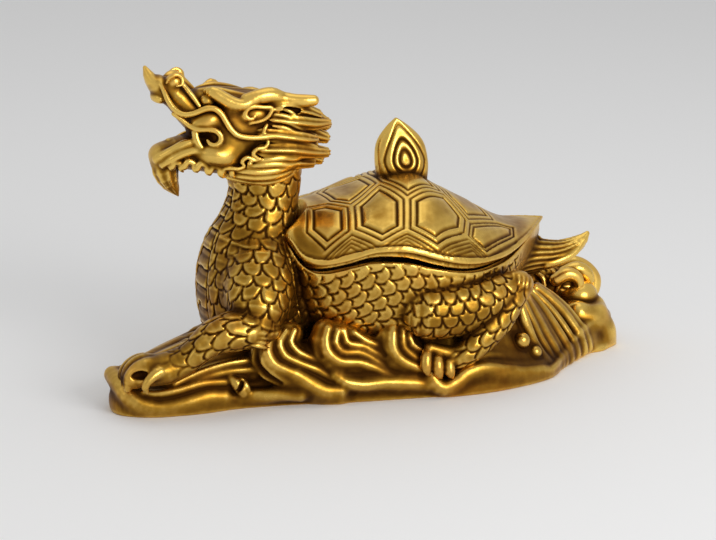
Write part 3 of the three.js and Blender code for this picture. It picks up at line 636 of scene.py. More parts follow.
def right_paw():
    """The hand with its knuckles, the hollow beside the thumb, and the thumb."""
    hand = Limb([(-72.5, -25, 18.2, 5, 4), (-76, -24.6, 16.6, 5.6, 4.6), (-81, -24.4, 15.6, 6, 4.8),
                 (-85, -23.6, 15, 5.8, 4.6), (-88.4, -22.6, 13.4, 4.6, 3.6)])
    knuckles = [
        Strand([(-81, y, 17, 2), (-85.6, y + 0.3, 18.2 - lower, 2.3), (-88.8, y + 0.6, 16.8 - lower, 2.2),
                (-91, y + 0.9, 13.2, 1.9), (-91.6, y + 1, 10.4, 1.2)])
        for y, lower in ((-25.6, 0.4), (-21.8, 0), (-18, 0.8))
    ]
    thumb = Strand([(-79, -27.4, 15.4, 2.6), (-82.4, -29.2, 16.2, 2.1), (-84.8, -30.2, 15.2, 1.6),
                    (-86.7, -30.6, 13.6, 1.35), (-87.3, -30.4, 11.8, 1.1), (-86.4, -30, 10, 0.5)])
    hollow = Ball((-88.4, -28.2, 15.2), (3, 2.6, 1.5), -8)
    return [(hand, 1.6), *[(knuckle, 1.2) for knuckle in knuckles]], [(hollow, 0.8)], [(thumb, 0.9)]


def elbow_tuft():
    """The short grooved tuft behind the right elbow."""
    return [
        (Strand([(-54.6, -32.6, 27.8 - 1.2 * i, 0.3), (-52, -33.6, 27.4 - 1.4 * i, 0.65),
                 (-49, -33.4, 26.8 - 1.5 * i, 0.6), (-46.6, -32, 26 - 1.5 * i, 0.25)]), 0.4)
        for i in range(4)
    ]


def left_foreleg(settings):
    scales = limb_scales(settings, 3.8, 5.2)
    upper = Limb([(-40, 12, 49, 7, 9), (-41, 20, 38, 9.5, 12), (-37, 25.4, 27, 8.5, 10),
                  (-32, 27, 19, 6.5, 7)],
                 side=LEFT, relief=scales)
    lower = Limb([(-29, 27, 18, 6, 6.5), (-37, 27.4, 15.4, 6.4, 6.6), (-45, 27, 11.4, 5.6, 5.6),
                  (-50, 26.6, 8.8, 5.4, 4.6)], side=LEFT, relief=scales)
    toes = [
        Strand([(-46, y, 10, 2.6), (-51, y + 0.4, 10.4, 2.6), (-55, y + 0.6, 8.4, 2),
                (-57.4, y + 0.6, 5, 0.8)])
        for y in (22.6, 26.4, 30)
    ]
    tuft = [
        Strand([(-31, 31, 21 - 1.3 * i, 0.6), (-28.4, 31.6, 20.8 - 1.4 * i, 0.8),
                (-25.4, 31, 20 - 1.6 * i, 0.3)])
        for i in range(4)
    ]
    return [(upper, 3), (lower, 1.6), *[(toe, 0.9) for toe in toes], *[(barb, 0.3) for barb in tuft]]


HOCK_CENTRE = (39.8, -32, 35.6)
HOCK_HALVES = (4.6, 4.2, 3.9)


def right_hind_leg(settings):
    thigh = Limb([(-0.4, -31, 28.8, 3.6, 5), (4, -33, 28.8, 6.6, 8), (12, -33.8, 28.6, 7.4, 9.2),
                  (21, -33.8, 29.4, 7.3, 8.6), (30, -33, 31.6, 6.4, 6.8), (38, -31.4, 34, 5, 5)],
                 relief=limb_scales(settings, 4.4, 5.3, crosswise=True))
    shank = Limb([(41, -31, 34.4, 4.6, 4.4), (37.4, -32.4, 30.6, 5.2, 4.8), (33, -34, 25.8, 5.3, 5.2),
                  (27, -35.4, 20.4, 5.2, 5.4), (22, -36, 16, 4.6, 4.6), (17, -36, 12.8, 3.8, 3.6)],
                 relief=limb_scales(settings, 4.2, 5.8))
    toes = [
        Strand([(6.8, -35, 16.6, 1.5), (5.2, -37, 13.6, 2), (5.1, -37.8, 10.6, 1.7), (5.8, -38, 8.6, 0.6)]),
        Strand([(10, -35.4, 14.8, 1.6), (9, -37.5, 12.2, 2.2), (9.1, -38.4, 9.4, 1.8),
                (9.9, -38.6, 7.4, 0.6)]),
        Strand([(14, -36, 13.4, 1.6), (12.9, -37.9, 11, 2.1), (13.1, -38.6, 8.8, 1.7),
                (13.8, -38.8, 7.2, 0.6)]),
        Ball((14.8, -37.2, 12.8), (1.9, 1.9, 1.7)),
        Ball((7, -33, 9.6), (2.4, 2, 3.6), 10),
    ]
    instep = Limb([(7.6, -34.4, 16.8, 2.4, 2), (11, -34.8, 15.4, 2.8, 2.4), (16.4, -35.4, 13.6, 3.2, 2.9),
                   (21, -35.6, 12.4, 2.8, 2.6)])
    hock = Ball(HOCK_CENTRE, HOCK_HALVES)
    return [(thigh, 0.7), (shank, 0.7), (instep, 1.4), (hock, 0.8), *[(toe, 0.6) for toe in toes]]


def hock_comb():
    """The comb of short ridges over the right hock."""
    centre_x, centre_y, centre_z = HOCK_CENTRE
    half_x, half_y, half_z = HOCK_HALVES
    ridges = []
    for i in range(-2, 3):
        line = []
        for t in np.linspace(-1, 1, 5):
            x, z = 1.5 * i + 0.9 * t, 2.5 * t - 0.5 * i
            bulge = math.sqrt(max(1 - (x / half_x) ** 2 - (z / half_z) ** 2, 0.05))
            line.append((centre_x + x, centre_y - half_y * bulge, centre_z + z, 0.6 - 0.3 * abs(t)))
        ridges.append((Strand(line, 0.9), 0.2))
    return ridges


def left_hind_leg(settings):
    """The left hind leg, whose foot reaches back over the rock, and the arcs of foam before it."""
    scales = limb_scales(settings, 3.6, 5)
    thigh = Limb([(14, 28, 33, 5, 7), (27, 30, 31, 8, 11.5), (40, 28, 28, 8.5, 11), (50, 25, 26, 7, 8)],
                 side=LEFT, relief=scales)
    shank = Limb([(46, 25, 24, 7, 7.4), (60, 20.5, 22, 6.6, 7.4), (70, 17, 21.5, 6.2, 6.4),
                  (79, 12.5, 21, 5.6, 5.4)],
                 side=LEFT, relief=scales)
    toes = [
        Strand([(77, 16, 26, 2.4), (83.4, 15, 27.6, 2.8), (88.6, 14.4, 25, 2.9), (91.4, 14, 20.8, 2.9),
                (90.4, 13.4, 16.8, 2.7), (86.8, 12.6, 14.6, 2.1), (83, 12, 16, 0.7)]),
        Strand([(78, 10.4, 25.6, 2.4), (82.6, 9.8, 26.8, 2.7), (86.2, 9.4, 24.8, 2.4), (87.4, 9.2, 22.2, 1.6),
                (85.8, 9, 20.8, 0.7)]),
        Strand([(73, 7.4, 24, 2.2), (77.4, 6.6, 26, 2.5), (80.8, 6, 24.4, 2.2), (81.4, 5.6, 21.2, 1.5),
                (79.6, 5.6, 19.4, 0.6)]),
    ]
    arcs = [
        Strand([(66.4, 11.6, 26.6, 0.5), (69.2, 10, 24.4, 1), (69.4, 9.6, 21, 1), (67.2, 10.4, 18.4, 0.5)]),
        Strand([(72.6, 10, 27, 0.6), (75, 8.2, 23.4, 1.1), (73.8, 8, 19.6, 0.5)]),
        Strand([(62, 14, 26, 0.5), (64.2, 12.6, 23.6, 0.9), (63.6, 12, 20.4, 0.4)]),
    ]
    return [(thigh, 2), (shank, 1.4), *[(toe, 0.5) for toe in toes], *[(arc, 0.4) for arc in arcs]]


def tail():
    root = Limb([
        (44, 0, 34.6, 7, 7.2), (52, 0, 35.6, 6.2, 6.8), (60, 0, 36, 5.4, 6.2), (66.6, 0, 35.8, 4.8, 5.4),
        (72, 0, 36.6, 4, 4.2), (76.4, 0, 38.2, 3, 3.4), (79.6, 0, 40.2, 1.9, 2.2), (81.4, 0, 42.2, 0.8, 0.9),
    ], relief=hair_relief(16, 0.4, 40, 30))
    lock = Strand([
        (64, -3.4, 33, 1.4), (70, -3.6, 34.4, 1.5), (75.6, -2.6, 36.6, 1.3), (79, -1.2, 39.6, 0.9),
        (81, -0.4, 42, 0.4),
    ])
    return [(root, 2), (lock, 0.6)]


# The head: an open-jawed dragon looking up and forward
LEFT_HORN_DROP = 3


def skull():
    skull_ball = Ball((-41, 0, 87.4), (17, 12.8, 11))
    nape = Limb([(-40, 0, 72, 10.4, 10.4), (-40, 0, 84, 11, 11)], front=True)
    return [(skull_ball, 0.1), (nape, 2)]


def jaws():
    """The upper jaw with its leaf-shaped tip, the lower jaw with its beard, and the tongue apart."""
    upper = Limb([(-44, 0, 86, 11, 8), (-52, 0, 87.6, 10.4, 7), (-58, 0, 90, 9.4, 6.4),
                  (-63.6, 0, 95, 8, 5.2), (-69, 0, 100.6, 6.6, 4.4), (-73, 0, 103.2, 5, 3)])
    lower = Limb([(-42, 0, 79, 11, 8), (-54, 0, 79.8, 10.6, 6.8), (-62, 0, 80.6, 9.6, 6),
                  (-68, 0, 80.6, 8, 5), (-73, 0, 80, 6, 3.6)])
    beard = Limb([(-72, 0, 80, 5.6, 4), (-71.4, 0, 75, 4.8, 4.4), (-70, 0, 71, 3.4, 3.2),
                  (-68, 0, 67.6, 1.5, 1.4), (-67.3, 0, 66.2, 0.5, 0.5)],
                 relief=hair_relief(9, 0.35, 2, 5, 0.1))
    lip = Ball((-73.4, 0, 98.8), (1.9, 4.4, 2.4), -45)
    leaf = Limb([(-71, 0, 99.6, 5, 2.6), (-74.2, 0, 103, 4.2, 2.4), (-76.2, 0, 106.4, 2.6, 1.7),
                 (-77.2, 0, 108.6, 0.7, 0.7)])
    tongue = Limb([(-55, 0, 83, 4.6, 2), (-61, 0, 84.4, 4.2, 1.8), (-66, 0, 84, 3.4, 1.5),
                   (-70, 0, 84.4, 1.8, 1)])
    return [(upper, 2), (lower, 1.5), (beard, 1.2), (lip, 0.8), (leaf, 0.8)], (tongue, 0.5)


def mouth():
    """The hollow between the jaws, and the one under the palate."""
    gape = Limb([(-82, 0, 93, 8, 5), (-74, 0, 90.6, 7.4, 4.8), (-69.4, 0, 89.4, 7, 2.9),
                 (-65.4, 0, 87.6, 6.4, 1.2)])
    palate = Limb([(-77, 0, 94, 6, 3.4), (-72.4, 0, 94, 5.4, 2.6), (-69.6, 0, 91.6, 5, 2)])
    return [(gape, 1), (palate, 1)]


def face(side):
    """The snout's bulbs, brow, horn, eye, cheeks, whiskers, lip and fang of one side."""
    drop = LEFT_HORN_DROP if side == LEFT else 0

    def strand(stations, spacing=1.2):
        return Strand(on_side(side, stations), spacing)

    snout = Ball((-68.9, side * 4.2, 104.3), (2.7, 2.5, 2.5))
    nostril_curl = strand([
        (-71.6, 5.6, 104.2, 0.4), (-70.6, 6.4, 106, 0.6), (-68.6, 6.6, 106.8, 0.6), (-66.8, 6.4, 105.6, 0.6),
        (-67, 6.8, 103.6, 0.5), (-68.8, 7, 103.2, 0.3),
    ], 0.6)
    snout_fold = strand([
        (-66.6, 6.2, 103.8, 0.7), (-64.8, 7.2, 101.2, 0.8), (-63, 8, 98.6, 0.8), (-61.9, 8.8, 96.7, 0.6),
    ])
    bridge = Ball((-58.9, side * 7.2, 98), (2.4, 2, 2.2))
    brow = strand([
        (-59.4, 7.4, 101, 0.9), (-57.6, 8.6, 100.9, 1.9), (-54.6, 9.8, 99, 2.3),
        (-51.4, 11, 97.3 - drop / 3, 2.2), (-48, 12, 96.9 - drop / 2, 1.8), (-45, 12, 98 - drop / 2, 1.6),
    ])
    horn = strand([
        (-47, 11, 98.4 - drop, 1.9), (-43, 11.4, 99 - drop, 2.5), (-38.4, 11, 99.2 - drop, 2.7),
        (-35, 10.8, 98 - drop, 2.4), (-31, 11.8, 97.4 - drop, 2.1), (-27, 12.8, 97.2 - drop, 2),
        (-25, 13, 97.2 - drop, 1.8),
    ])
    eye = Ball((-43.6, side * 11, 93.4), (3.8, 2, 2.6))
    eyelid = strand([
        (-44.6, 12.6, 93.2, 0.3), (-45.4, 12.9, 92.4, 0.5), (-47, 12.8, 92.6, 0.6), (-47.9, 12.6, 93.8, 0.7),
        (-47.2, 12.8, 95.4, 0.7), (-45, 13, 96.2, 0.7), (-42, 13.1, 95.9, 0.7), (-39, 13, 95.3, 0.7),
        (-39.7, 13, 93.6, 0.7), (-41.6, 12.8, 91.9, 0.7), (-44, 12.7, 91.2, 0.6), (-46, 12.4, 91, 0.4),
    ], 0.6)
    low_cheek = Ball((-56, side * 9.6, 80.6), (7, 4.6, 4.4), 10)
    middle_cheek = Ball((-51, side * 9.2, 84.6), (6, 4, 5))
    high_cheek = Ball((-50.6, side * 8.4, 90), (7.6, 4.1, 6.6))
    muzzle = Ball((-58.6, side * 8.2, 92), (4.6, 3.6, 3.2), -20)
    upper_lip = Ball((-61.6, side * 8, 92), (4.4, 2.4, 2.2), -40)
    long_whisker = strand([
        (-73.2, 4.4, 103.6, 0.6), (-72.4, 6, 101, 0.8), (-71.4, 7, 98.4, 0.9), (-69.8, 8, 96, 0.9),
        (-67.6, 9, 94.4, 0.9), (-65, 9.6, 94.4, 0.9), (-62.4, 10, 95.2, 0.95), (-60, 10.6, 96.1, 1),
        (-57.6, 11.2, 96, 1), (-55.7, 11.8, 94.5, 1), (-54.3, 12.3, 92, 1), (-52.8, 12.8, 89.4, 1),
        (-50.8, 13.2, 87.4, 1), (-48.2, 13.6, 86.6, 0.95), (-44.3, 14, 86.3, 0.9), (-40, 14.2, 86.5, 0.9),
        (-35.6, 14.2, 86.4, 0.9), (-31.5, 13.6, 84.9, 0.8), (-27.2, 12.4, 83.2, 0.7),
        (-23.1, 10.6, 81.5, 0.4),
    ])
    lip_curl = strand([
        (-70, 7, 94.4, 0.7), (-67.2, 7.8, 92.3, 0.8), (-65.1, 8.6, 90.4, 0.9), (-62.4, 9.8, 89.4, 1),
        (-59.4, 10.8, 89.4, 1), (-57, 11.6, 88.7, 1), (-55.8, 12, 87, 1), (-56.2, 12, 85.2, 0.95),
        (-57.8, 12, 84.3, 0.85), (-59.5, 11.6, 84.9, 0.7), (-60.2, 11.2, 86, 0.4),
    ])
    fang = strand([
        (-63.4, 8.6, 89.4, 1.1), (-63.4, 9.2, 87, 1.2), (-62.6, 10, 84.6, 1), (-61.2, 10.6, 83, 0.6),
        (-60.3, 10.8, 82.4, 0.25),
    ])
    gum = strand([
        (-75, 3.4, 79.4, 1), (-73, 5.4, 81, 1.3), (-69.8, 7, 83, 1.4), (-66, 8, 84.8, 1.4), (-63, 8.6, 85, 1),
    ])
    lower_lip = strand([
        (-73.4, 5.4, 77.6, 1), (-70.8, 7.4, 79.8, 1.4), (-67, 8.6, 81.8, 1.5), (-63.4, 9.6, 82.6, 1.3),
        (-60, 10.4, 82, 0.8),
    ])
    cheek_fold = strand([
        (-41, 13.6, 90.2, 0.5), (-41.8, 13.8, 89, 0.7), (-42.2, 13.9, 87.8, 0.6), (-41.2, 14, 87.3, 0.4),
    ])
    return [
        (snout, 1), (nostril_curl, 0.3), (snout_fold, 0.5), (bridge, 0.7), (brow, 0.8), (horn, 1), (eye, 0.4),
        (eyelid, 0.35), (low_cheek, 2.4), (middle_cheek, 2.4), (high_cheek, 2.4), (muzzle, 1.6),
        (upper_lip, 1.2), (long_whisker, 0.35), (lip_curl, 0.35), (fang, 0.3), (gum, 1), (lower_lip, 1.1),
        (cheek_fold, 0.3),
    ]


def face_hollows(side):
    """The dark hollows of one side."""
    nostril = Ball((-69, side * 7, 105.2), (1.5, 1.2, 1))
    in_lip_curl = Ball((-59, side * 11.8, 87.2), (2.2, 2.2, 1.5), -10)
    under_brow = Ball((-52.6, side * 12.6, 95), (3, 1, 1), 30)
    under_horn = Ball((-33, side * 12.6, 94.4), (4, 1.8, 1.3), 5)
    return [(nostril, 0.3), (in_lip_curl, 0.3), (under_brow, 0.6), (under_horn, 0.5)]


# The feet of the barbs along the jaw: (x, y, z, size)
JAW_BARBS = (
    (-69.6, 6.8, 77.6, 0.9), (-65.8, 8.4, 77.8, 1), (-62, 9.6, 77, 1.05), (-58, 10.4, 76, 1.1),
    (-54, 10.8, 75.6, 1),
)


def jaw_barbs(side):
    """The hooked barbs along the lower edge of the jaw."""
    hooks = []
    for x, y, z, size in JAW_BARBS:
        hook = Strand(on_side(side, [
            (x - 1.4 * size, y, z - 0.4, 1.2), (x - 0.2, y + 0.6, z + 1.3 * size, 1.2),
            (x + 1.4 * size, y + 0.8, z + 0.6, 1.1), (x + 1.8 * size, y + 0.8, z - 1.4 * size, 0.8),
            (x + 2.6 * size, y + 0.8, z - 2.4 * size, 0.25),
        ]), 0.6)
        hooks.append((hook, 0.6))
    return hooks


def frill(side):
    """The flame-edged frill at the hinge of the jaw."""
    edge = Strand(on_side(side, [
        (-41, 13.8, 86, 0.5), (-40.8, 14, 84.4, 0.6), (-42, 14, 83, 0.7), (-44.6, 13.9, 82.6, 0.7),
        (-45.8, 13.8, 81.2, 0.7), (-44.6, 13.8, 79.8, 0.6), (-43.2, 13.8, 79.2, 0.4),
    ]), 0.6)
    lower = Strand(on_side(side, [
        (-43.2, 13.7, 79.2, 0.4), (-45.4, 13.6, 78.9, 0.6), (-47.6, 13.4, 80, 0.7), (-49.4, 13.2, 78.6, 0.7),
        (-48.6, 13.2, 77.2, 0.5), (-50.4, 12.9, 76.4, 0.7), (-53, 12.4, 76.6, 0.7), (-55.2, 11.8, 76.4, 0.7),
        (-55.6, 11.2, 74.8, 0.6), (-54.4, 10.8, 73.6, 0.4),
    ]), 0.6)
    bead = Ball((-46.9, side * 13.7, 78), (0.9, 0.8, 0.9))
    return [(edge, 0.35), (lower, 0.35), (bead, 0.3)]


def throat_hair(side):
    """Strands of hair that sweep back under the jaw to the nape."""
    strands = [
        [(-54, 8.4, 74.6, 1), (-49.5, 10.6, 73.6, 1.2), (-44, 12, 73, 1.3), (-38, 12.2, 73.2, 1.3),
         (-32.6, 10.8, 74.2, 1), (-28.6, 8.8, 76, 0.5)],
        [(-53, 9.8, 76, 0.9), (-48, 11.8, 75.2, 1.2), (-42.6, 12.8, 74.8, 1.3), (-37, 12.8, 75.2, 1.2),
         (-31.6, 11.4, 76.2, 0.9), (-27.6, 9.6, 77.6, 0.4)],
        [(-47, 12.2, 77, 0.8), (-42.4, 13.2, 77.2, 1.1), (-37.6, 13.4, 77.2, 1.2), (-33, 12.6, 76.6, 1),
         (-29.6, 11.4, 76.6, 0.5)],
        [(-44, 13, 78.6, 0.6), (-40, 13.6, 79, 1), (-35.6, 13.6, 79, 1), (-31, 12.8, 78.4, 0.8),
         (-28, 11.6, 78.6, 0.4)],
        [(-52, 6.4, 72.6, 1), (-46, 9.8, 71.6, 1.3), (-40, 11, 71.2, 1.3), (-34, 10.4, 72, 1.1),
         (-29, 8, 73.6, 0.5)],
    ]
    return [(Strand(on_side(side, stations)), 0.7) for stations in strands]


def mane(side):
    """Grooved locks that sweep back from the face to blunt tips."""
    locks = [
        [(-40, 10, 95, 3, 2.6), (-34, 11, 94.8, 3.4, 2.8), (-27.4, 10, 93.6, 3, 2.5),
         (-22, 7.6, 91.6, 2.2, 2)],
        [(-38, 11, 91.4, 3, 2.8), (-30.6, 11.2, 90.4, 3.4, 3), (-23, 8.6, 89, 2.9, 2.5),
         (-18.4, 6.4, 88.6, 2, 1.9)],
        [(-42, 11.6, 87, 3, 2.8), (-34, 12, 86, 3.6, 3), (-27, 10.6, 84.6, 3.1, 2.6),
         (-23.4, 8.6, 83.8, 2, 1.8)],
        [(-42, 11.6, 82, 3, 2.8), (-33, 12, 81.6, 3.4, 3), (-25, 9.6, 80, 3, 2.6),
         (-18.6, 6.2, 78.6, 2, 1.9)],
        [(-37, 10, 78, 3.4, 3), (-30, 9.4, 76.8, 3.1, 2.6), (-24, 6.4, 75.6, 2.2, 2)],
        [(-36, 6, 93.4, 3, 2.6), (-28, 6, 93, 3.2, 2.8), (-21, 3.8, 90.4, 2.4, 2.2)],
        [(-32, 4.6, 87, 3.4, 3.2), (-24, 4.6, 85, 3.4, 3), (-18, 3, 83, 2.4, 2.2)],
        [(-32, 3.6, 79, 3.4, 3.2), (-25, 3.6, 77.6, 3, 2.8), (-19.6, 2, 75.6, 2, 2)],
    ]

    def grooved(along, angle, wide, deep):
        return hair(angle, 8, 0.5, along, 0.05) * ramp(1.3, 2, wide)

    return [(Limb(on_side(side, stations), side=side, relief=grooved), 0.5) for stations in locks]


def temple_strands(side):
    """Fine raised hairs between the eye, the horn and the mane."""
    strands = [
        [(-38, 13, 93.4, 0.5), (-34.6, 13.2, 92.6, 0.8), (-31.4, 13, 91, 0.7), (-29, 12.4, 89.6, 0.4)],
        [(-38, 13.2, 91.6, 0.5), (-34.4, 13.6, 90.8, 0.8), (-30.6, 13.2, 88.8, 0.7), (-27.6, 12, 87, 0.4)],
        [(-39, 13.6, 89.8, 0.4), (-35, 14, 88.9, 0.7), (-31, 13.4, 87, 0.6), (-27, 12, 84.9, 0.4)],
        [(-36, 12.4, 95, 0.4), (-33.4, 12.9, 94.2, 0.7), (-31.4, 12.9, 92.9, 0.6), (-30.4, 12.6, 91.6, 0.3)],
    ]
    return [(Strand(on_side(side, stations), 0.9), 0.3) for stations in strands]


def crown():
    """The forehead and the raised bands along the top of the head."""
    forehead = Limb([(-60, 0, 98.6, 5.6, 2.6), (-56, 0, 98.6, 7.4, 3), (-49, 0, 97.2, 9.4, 3.4),
                     (-37, 0, 94.4, 9.4, 4.4), (-26, 0, 91.6, 6.4, 4.4), (-16.6, 0, 87, 2.4, 2.4)],
                    relief=hair_relief(14, 0.5, 16, 24))
    bands = [
        Strand([(-59.6, 2, 100.6, 1), (-56.4, 3, 101, 1.5), (-51.4, 4.4, 100.2, 1.6), (-46, 6, 98.6, 1.5),
                (-40.4, 7.4, 97, 1.1)]),
        Strand([(-59.6, -2, 100.4, 1), (-56, -3.4, 100.6, 1.4), (-51, -5, 99.6, 1.4), (-45.6, -6, 98.2, 1.3),
                (-40, -6.6, 97, 1)]),
        Strand([(-58.6, 0, 100, 0.9), (-54, 0, 100.2, 1.2), (-48, 0, 99.4, 1.4), (-41, 0, 98.4, 1.4),
                (-34, 0, 97, 1.2)]),
    ]
    return [(forehead, 1.4), *[(band, 0.6) for band in bands]]


# The base of waves
GROUND_PLAN = [
    (-95, -12), (-90.5, -22.5), (-72, -27.5), (-54, -26.6), (-35, -29), (-17, -33), (8, -36.5), (16, -38.6),
    (33, -37.8), (53, -31.5), (64, -21), (79, -9), (93.5, 2), (95, 12), (86, 22), (68, 28), (44, 32),
    (18, 33), (-8, 33), (-32, 33), (-56, 30), (-72, 18), (-87, 3),
]
# The base's height at its edge, and in its bed behind the waves
edge_height = profile([
    (-95, 10.5), (-92, 10.2), (-89.3, 6), (-84.6, 4.6), (-80.7, 4.2), (-75.6, 4.9), (-70.5, 6), (-65.7, 6.7),
    (-60.6, 6), (-55, 5), (-46, 5.6), (-30, 6), (-24, 8), (-8, 7.8), (5, 6.8), (12, 5), (15, 6), (19.7, 9.2),
    (25.4, 10.2), (33.6, 8.4), (42, 6.4), (50, 5.6), (54, 4.6), (64, 6), (78, 11), (95, 11),
])
bed_height = profile([
    (-93, 10.5), (-84, 9.4), (-76, 9.8), (-67, 12.8), (-58, 14.8), (-48, 17), (-30, 19), (0, 19), (30, 21),
    (46, 27), (58, 25), (70, 17), (82, 14), (92, 13),
])
# How far in from the edge the wall of waves reaches the bed's height
wall_reach = profile([
    (-95, 3.6), (-84, 4.4), (-62, 5), (-52, 4.6), (-44, 3.4), (-36, 3), (0, 3), (7, 5.5), (14, 8), (34, 9),
    (42, 12), (50, 17), (62, 19), (74, 14), (90, 8),
])
# How round the edge is, and how wide the level shelf along it
EDGE_ROUND = 1.6
EDGE_SHELF = 1.6
CURVE_STEPS = 7


def closed_curve(points, count):
    """Points of a smooth closed curve through a few points, so many steps from each to the next."""
    points = np.array(points, float)
    ring = np.vstack([points[-1:], points, points[:2]])
    out = []
    for i in range(len(points)):
        before, start, end, after = ring[i : i + 4]
        for t in np.linspace(0, 1, count, endpoint=False):
            bend = 2 * before - 5 * start + 4 * end - after
            twist = 3 * start - before - 3 * end + after
            out.append(0.5 * (2 * start + (end - before) * t + bend * t**2 + twist * t**3))
    return np.array(out)


def plan_distance(px, py, outline):
    """How far each place lies outside a closed outline in plan; inside it is negative."""
    nearest = np.full(px.shape, 1e9)
    inside = np.zeros(px.shape, bool)
    for (ax, ay), (bx, by) in zip(outline, np.roll(outline, -1, axis=0)):
        run_x, run_y = bx - ax, by - ay
        t = np.clip(((px - ax) * run_x + (py - ay) * run_y) / max(run_x**2 + run_y**2, 1e-9), 0, 1)
        nearest = np.minimum(nearest, (px - ax - t * run_x) ** 2 + (py - ay - t * run_y) ** 2)
        crosses = ((ay > py) != (by > py)) & (px < run_x * (py - ay) / (run_y if run_y else 1e-9) + ax)
        inside ^= crosses
    return np.where(inside, -1, 1) * np.sqrt(nearest)


class Ground:
    """The bed of the waves, with a rolled edge round its plan and a flat underside."""

    def box(self):
        return box_of((-98, -44, -2), (98, 44, 34))

    def distance(self, x, y, z):
        plan_x, plan_y = np.meshgrid(x.reshape(-1).astype(float), y.reshape(-1).astype(float), indexing="ij")
        beyond = plan_distance(plan_x, plan_y, closed_curve(GROUND_PLAN, CURVE_STEPS))
        within = np.maximum(-beyond, 0)
        edge = edge_height(plan_x)
        climb = np.clip((within - EDGE_SHELF) / wall_reach(plan_x), 0, 1) ** 1.2
        ripple = 0.4 * np.sin(plan_x * 0.42 + plan_y * 0.9) * ramp(4, 9, within)
        top = edge + (bed_height(plan_x) - edge) * climb + ripple
        slope_x, slope_y = np.gradient(top, x.reshape(-1), y.reshape(-1))
        norm = np.sqrt(1 + slope_x**2 + slope_y**2)
        above = (z - top[:, :, None]) / norm[:, :, None]
        bulge = 0.5 * np.clip(1 - ((z - 3) / 3) ** 2, -1, 1)
        side = beyond[:, :, None] + 0.5 - bulge
        rounded = -blended(-above, -side, EDGE_ROUND)
        return np.maximum(rounded, -z).astype(np.float32)


# Crests of the waves, each a line of (x, y, z, radius). A fan is its two end crests and its count of ridges
WALL_CRESTS = [
    [(-42.6, -25, 26, 1.6), (-45.6, -27.6, 22.4, 1.8), (-46.8, -29.4, 19.4, 1.9), (-45.4, -30.2, 16, 1.9),
     (-40.6, -30.4, 12.8, 1.9), (-34, -31, 9.4, 1.9), (-28, -31.8, 5.8, 1.8), (-23, -32.6, 4.6, 1.6)],
    [(-39.6, -26.6, 24.6, 1.2), (-42.4, -28.6, 21.6, 1.4), (-41.2, -29.4, 18, 1.5), (-36.3, -29.8, 14.8, 1.5),
     (-30, -30.6, 11.8, 1.4), (-25.6, -31.4, 8.6, 0.9)],
    [(-36.6, -27, 25, 1), (-38.4, -28.2, 21.6, 1.1), (-36.6, -28.8, 18.6, 1.2), (-32.8, -29.2, 16.2, 1.2),
     (-27.9, -30, 13.4, 0.8)],
    [(-25.8, -28.6, 25, 1.4), (-27.2, -30, 21.6, 1.7), (-26.8, -31, 18, 1.9), (-23.8, -31.6, 15, 1.9),
     (-15.5, -32.2, 13.2, 1.7), (-9, -33, 10.2, 1.4), (-3, -34, 6.8, 1)],
    [(-22.6, -29.4, 24, 1.2), (-24, -30.6, 21, 1.3), (-22.4, -31, 17.8, 1.4), (-15.8, -31.4, 16.6, 1.4),
     (-10.6, -32.2, 13.6, 1.2), (-4.8, -33.4, 8.3, 0.8)],
    [(-20.6, -29.4, 24, 1), (-20, -30.4, 20.4, 1.2), (-14.1, -31, 18.4, 1.2), (-9.6, -31.8, 15.3, 1),
     (-5, -32.8, 11, 0.7)],
    [(-17, -29.6, 23, 0.9), (-13.9, -30.4, 20.6, 1), (-8.6, -31, 17.6, 0.9), (-5.4, -31.8, 14.4, 0.7)],
    [(-3.6, -30.4, 25, 1.4), (-4.8, -32.4, 21.6, 1.8), (-5, -33.2, 17.4, 2), (-2.8, -33.8, 13.9, 2),
     (2.3, -34.6, 10.9, 1.8), (6, -35.2, 9.6, 1.2)],
    [(-0.4, -31, 24, 1), (-1.2, -32.4, 21.2, 1.2), (-1.2, -33, 17.7, 1.3), (1.6, -33.6, 14.5, 1.3),
     (5.6, -34.2, 12, 0.8)],
    [(1.8, -31, 23.4, 0.8), (1.3, -32.4, 20.6, 1), (2, -33, 18.1, 1.1), (5, -33.4, 16, 0.7)],
    [(-86, -22.6, 8, 0.9), (-82, -24, 7.6, 1.2), (-75.7, -24.6, 8.1, 1.4), (-67.3, -24.6, 9.6, 1.5),
     (-59.5, -24.8, 9.4, 1.3)],
    [(-76, -24, 10.4, 0.8), (-67.3, -23.4, 13.2, 1.3), (-58.8, -23.6, 15, 1.4), (-49.2, -24, 15.6, 1.3)],
    [(-72, -24, 10, 0.7), (-65.6, -24, 11.6, 1.1), (-58.9, -24.4, 12.6, 1.2), (-50, -25.2, 12.8, 1)],
    [(21.7, -35.4, 10.6, 1), (26, -34.2, 11.8, 1.3), (32, -32.6, 11, 1.3), (40, -29.6, 8.4, 1.3),
     (47, -26.4, 6.4, 1)],
    [(24, -33, 13.4, 0.8), (29, -31.6, 13.8, 1.1), (35, -29.8, 12.4, 1.1), (41, -27.4, 10, 0.8)],
]
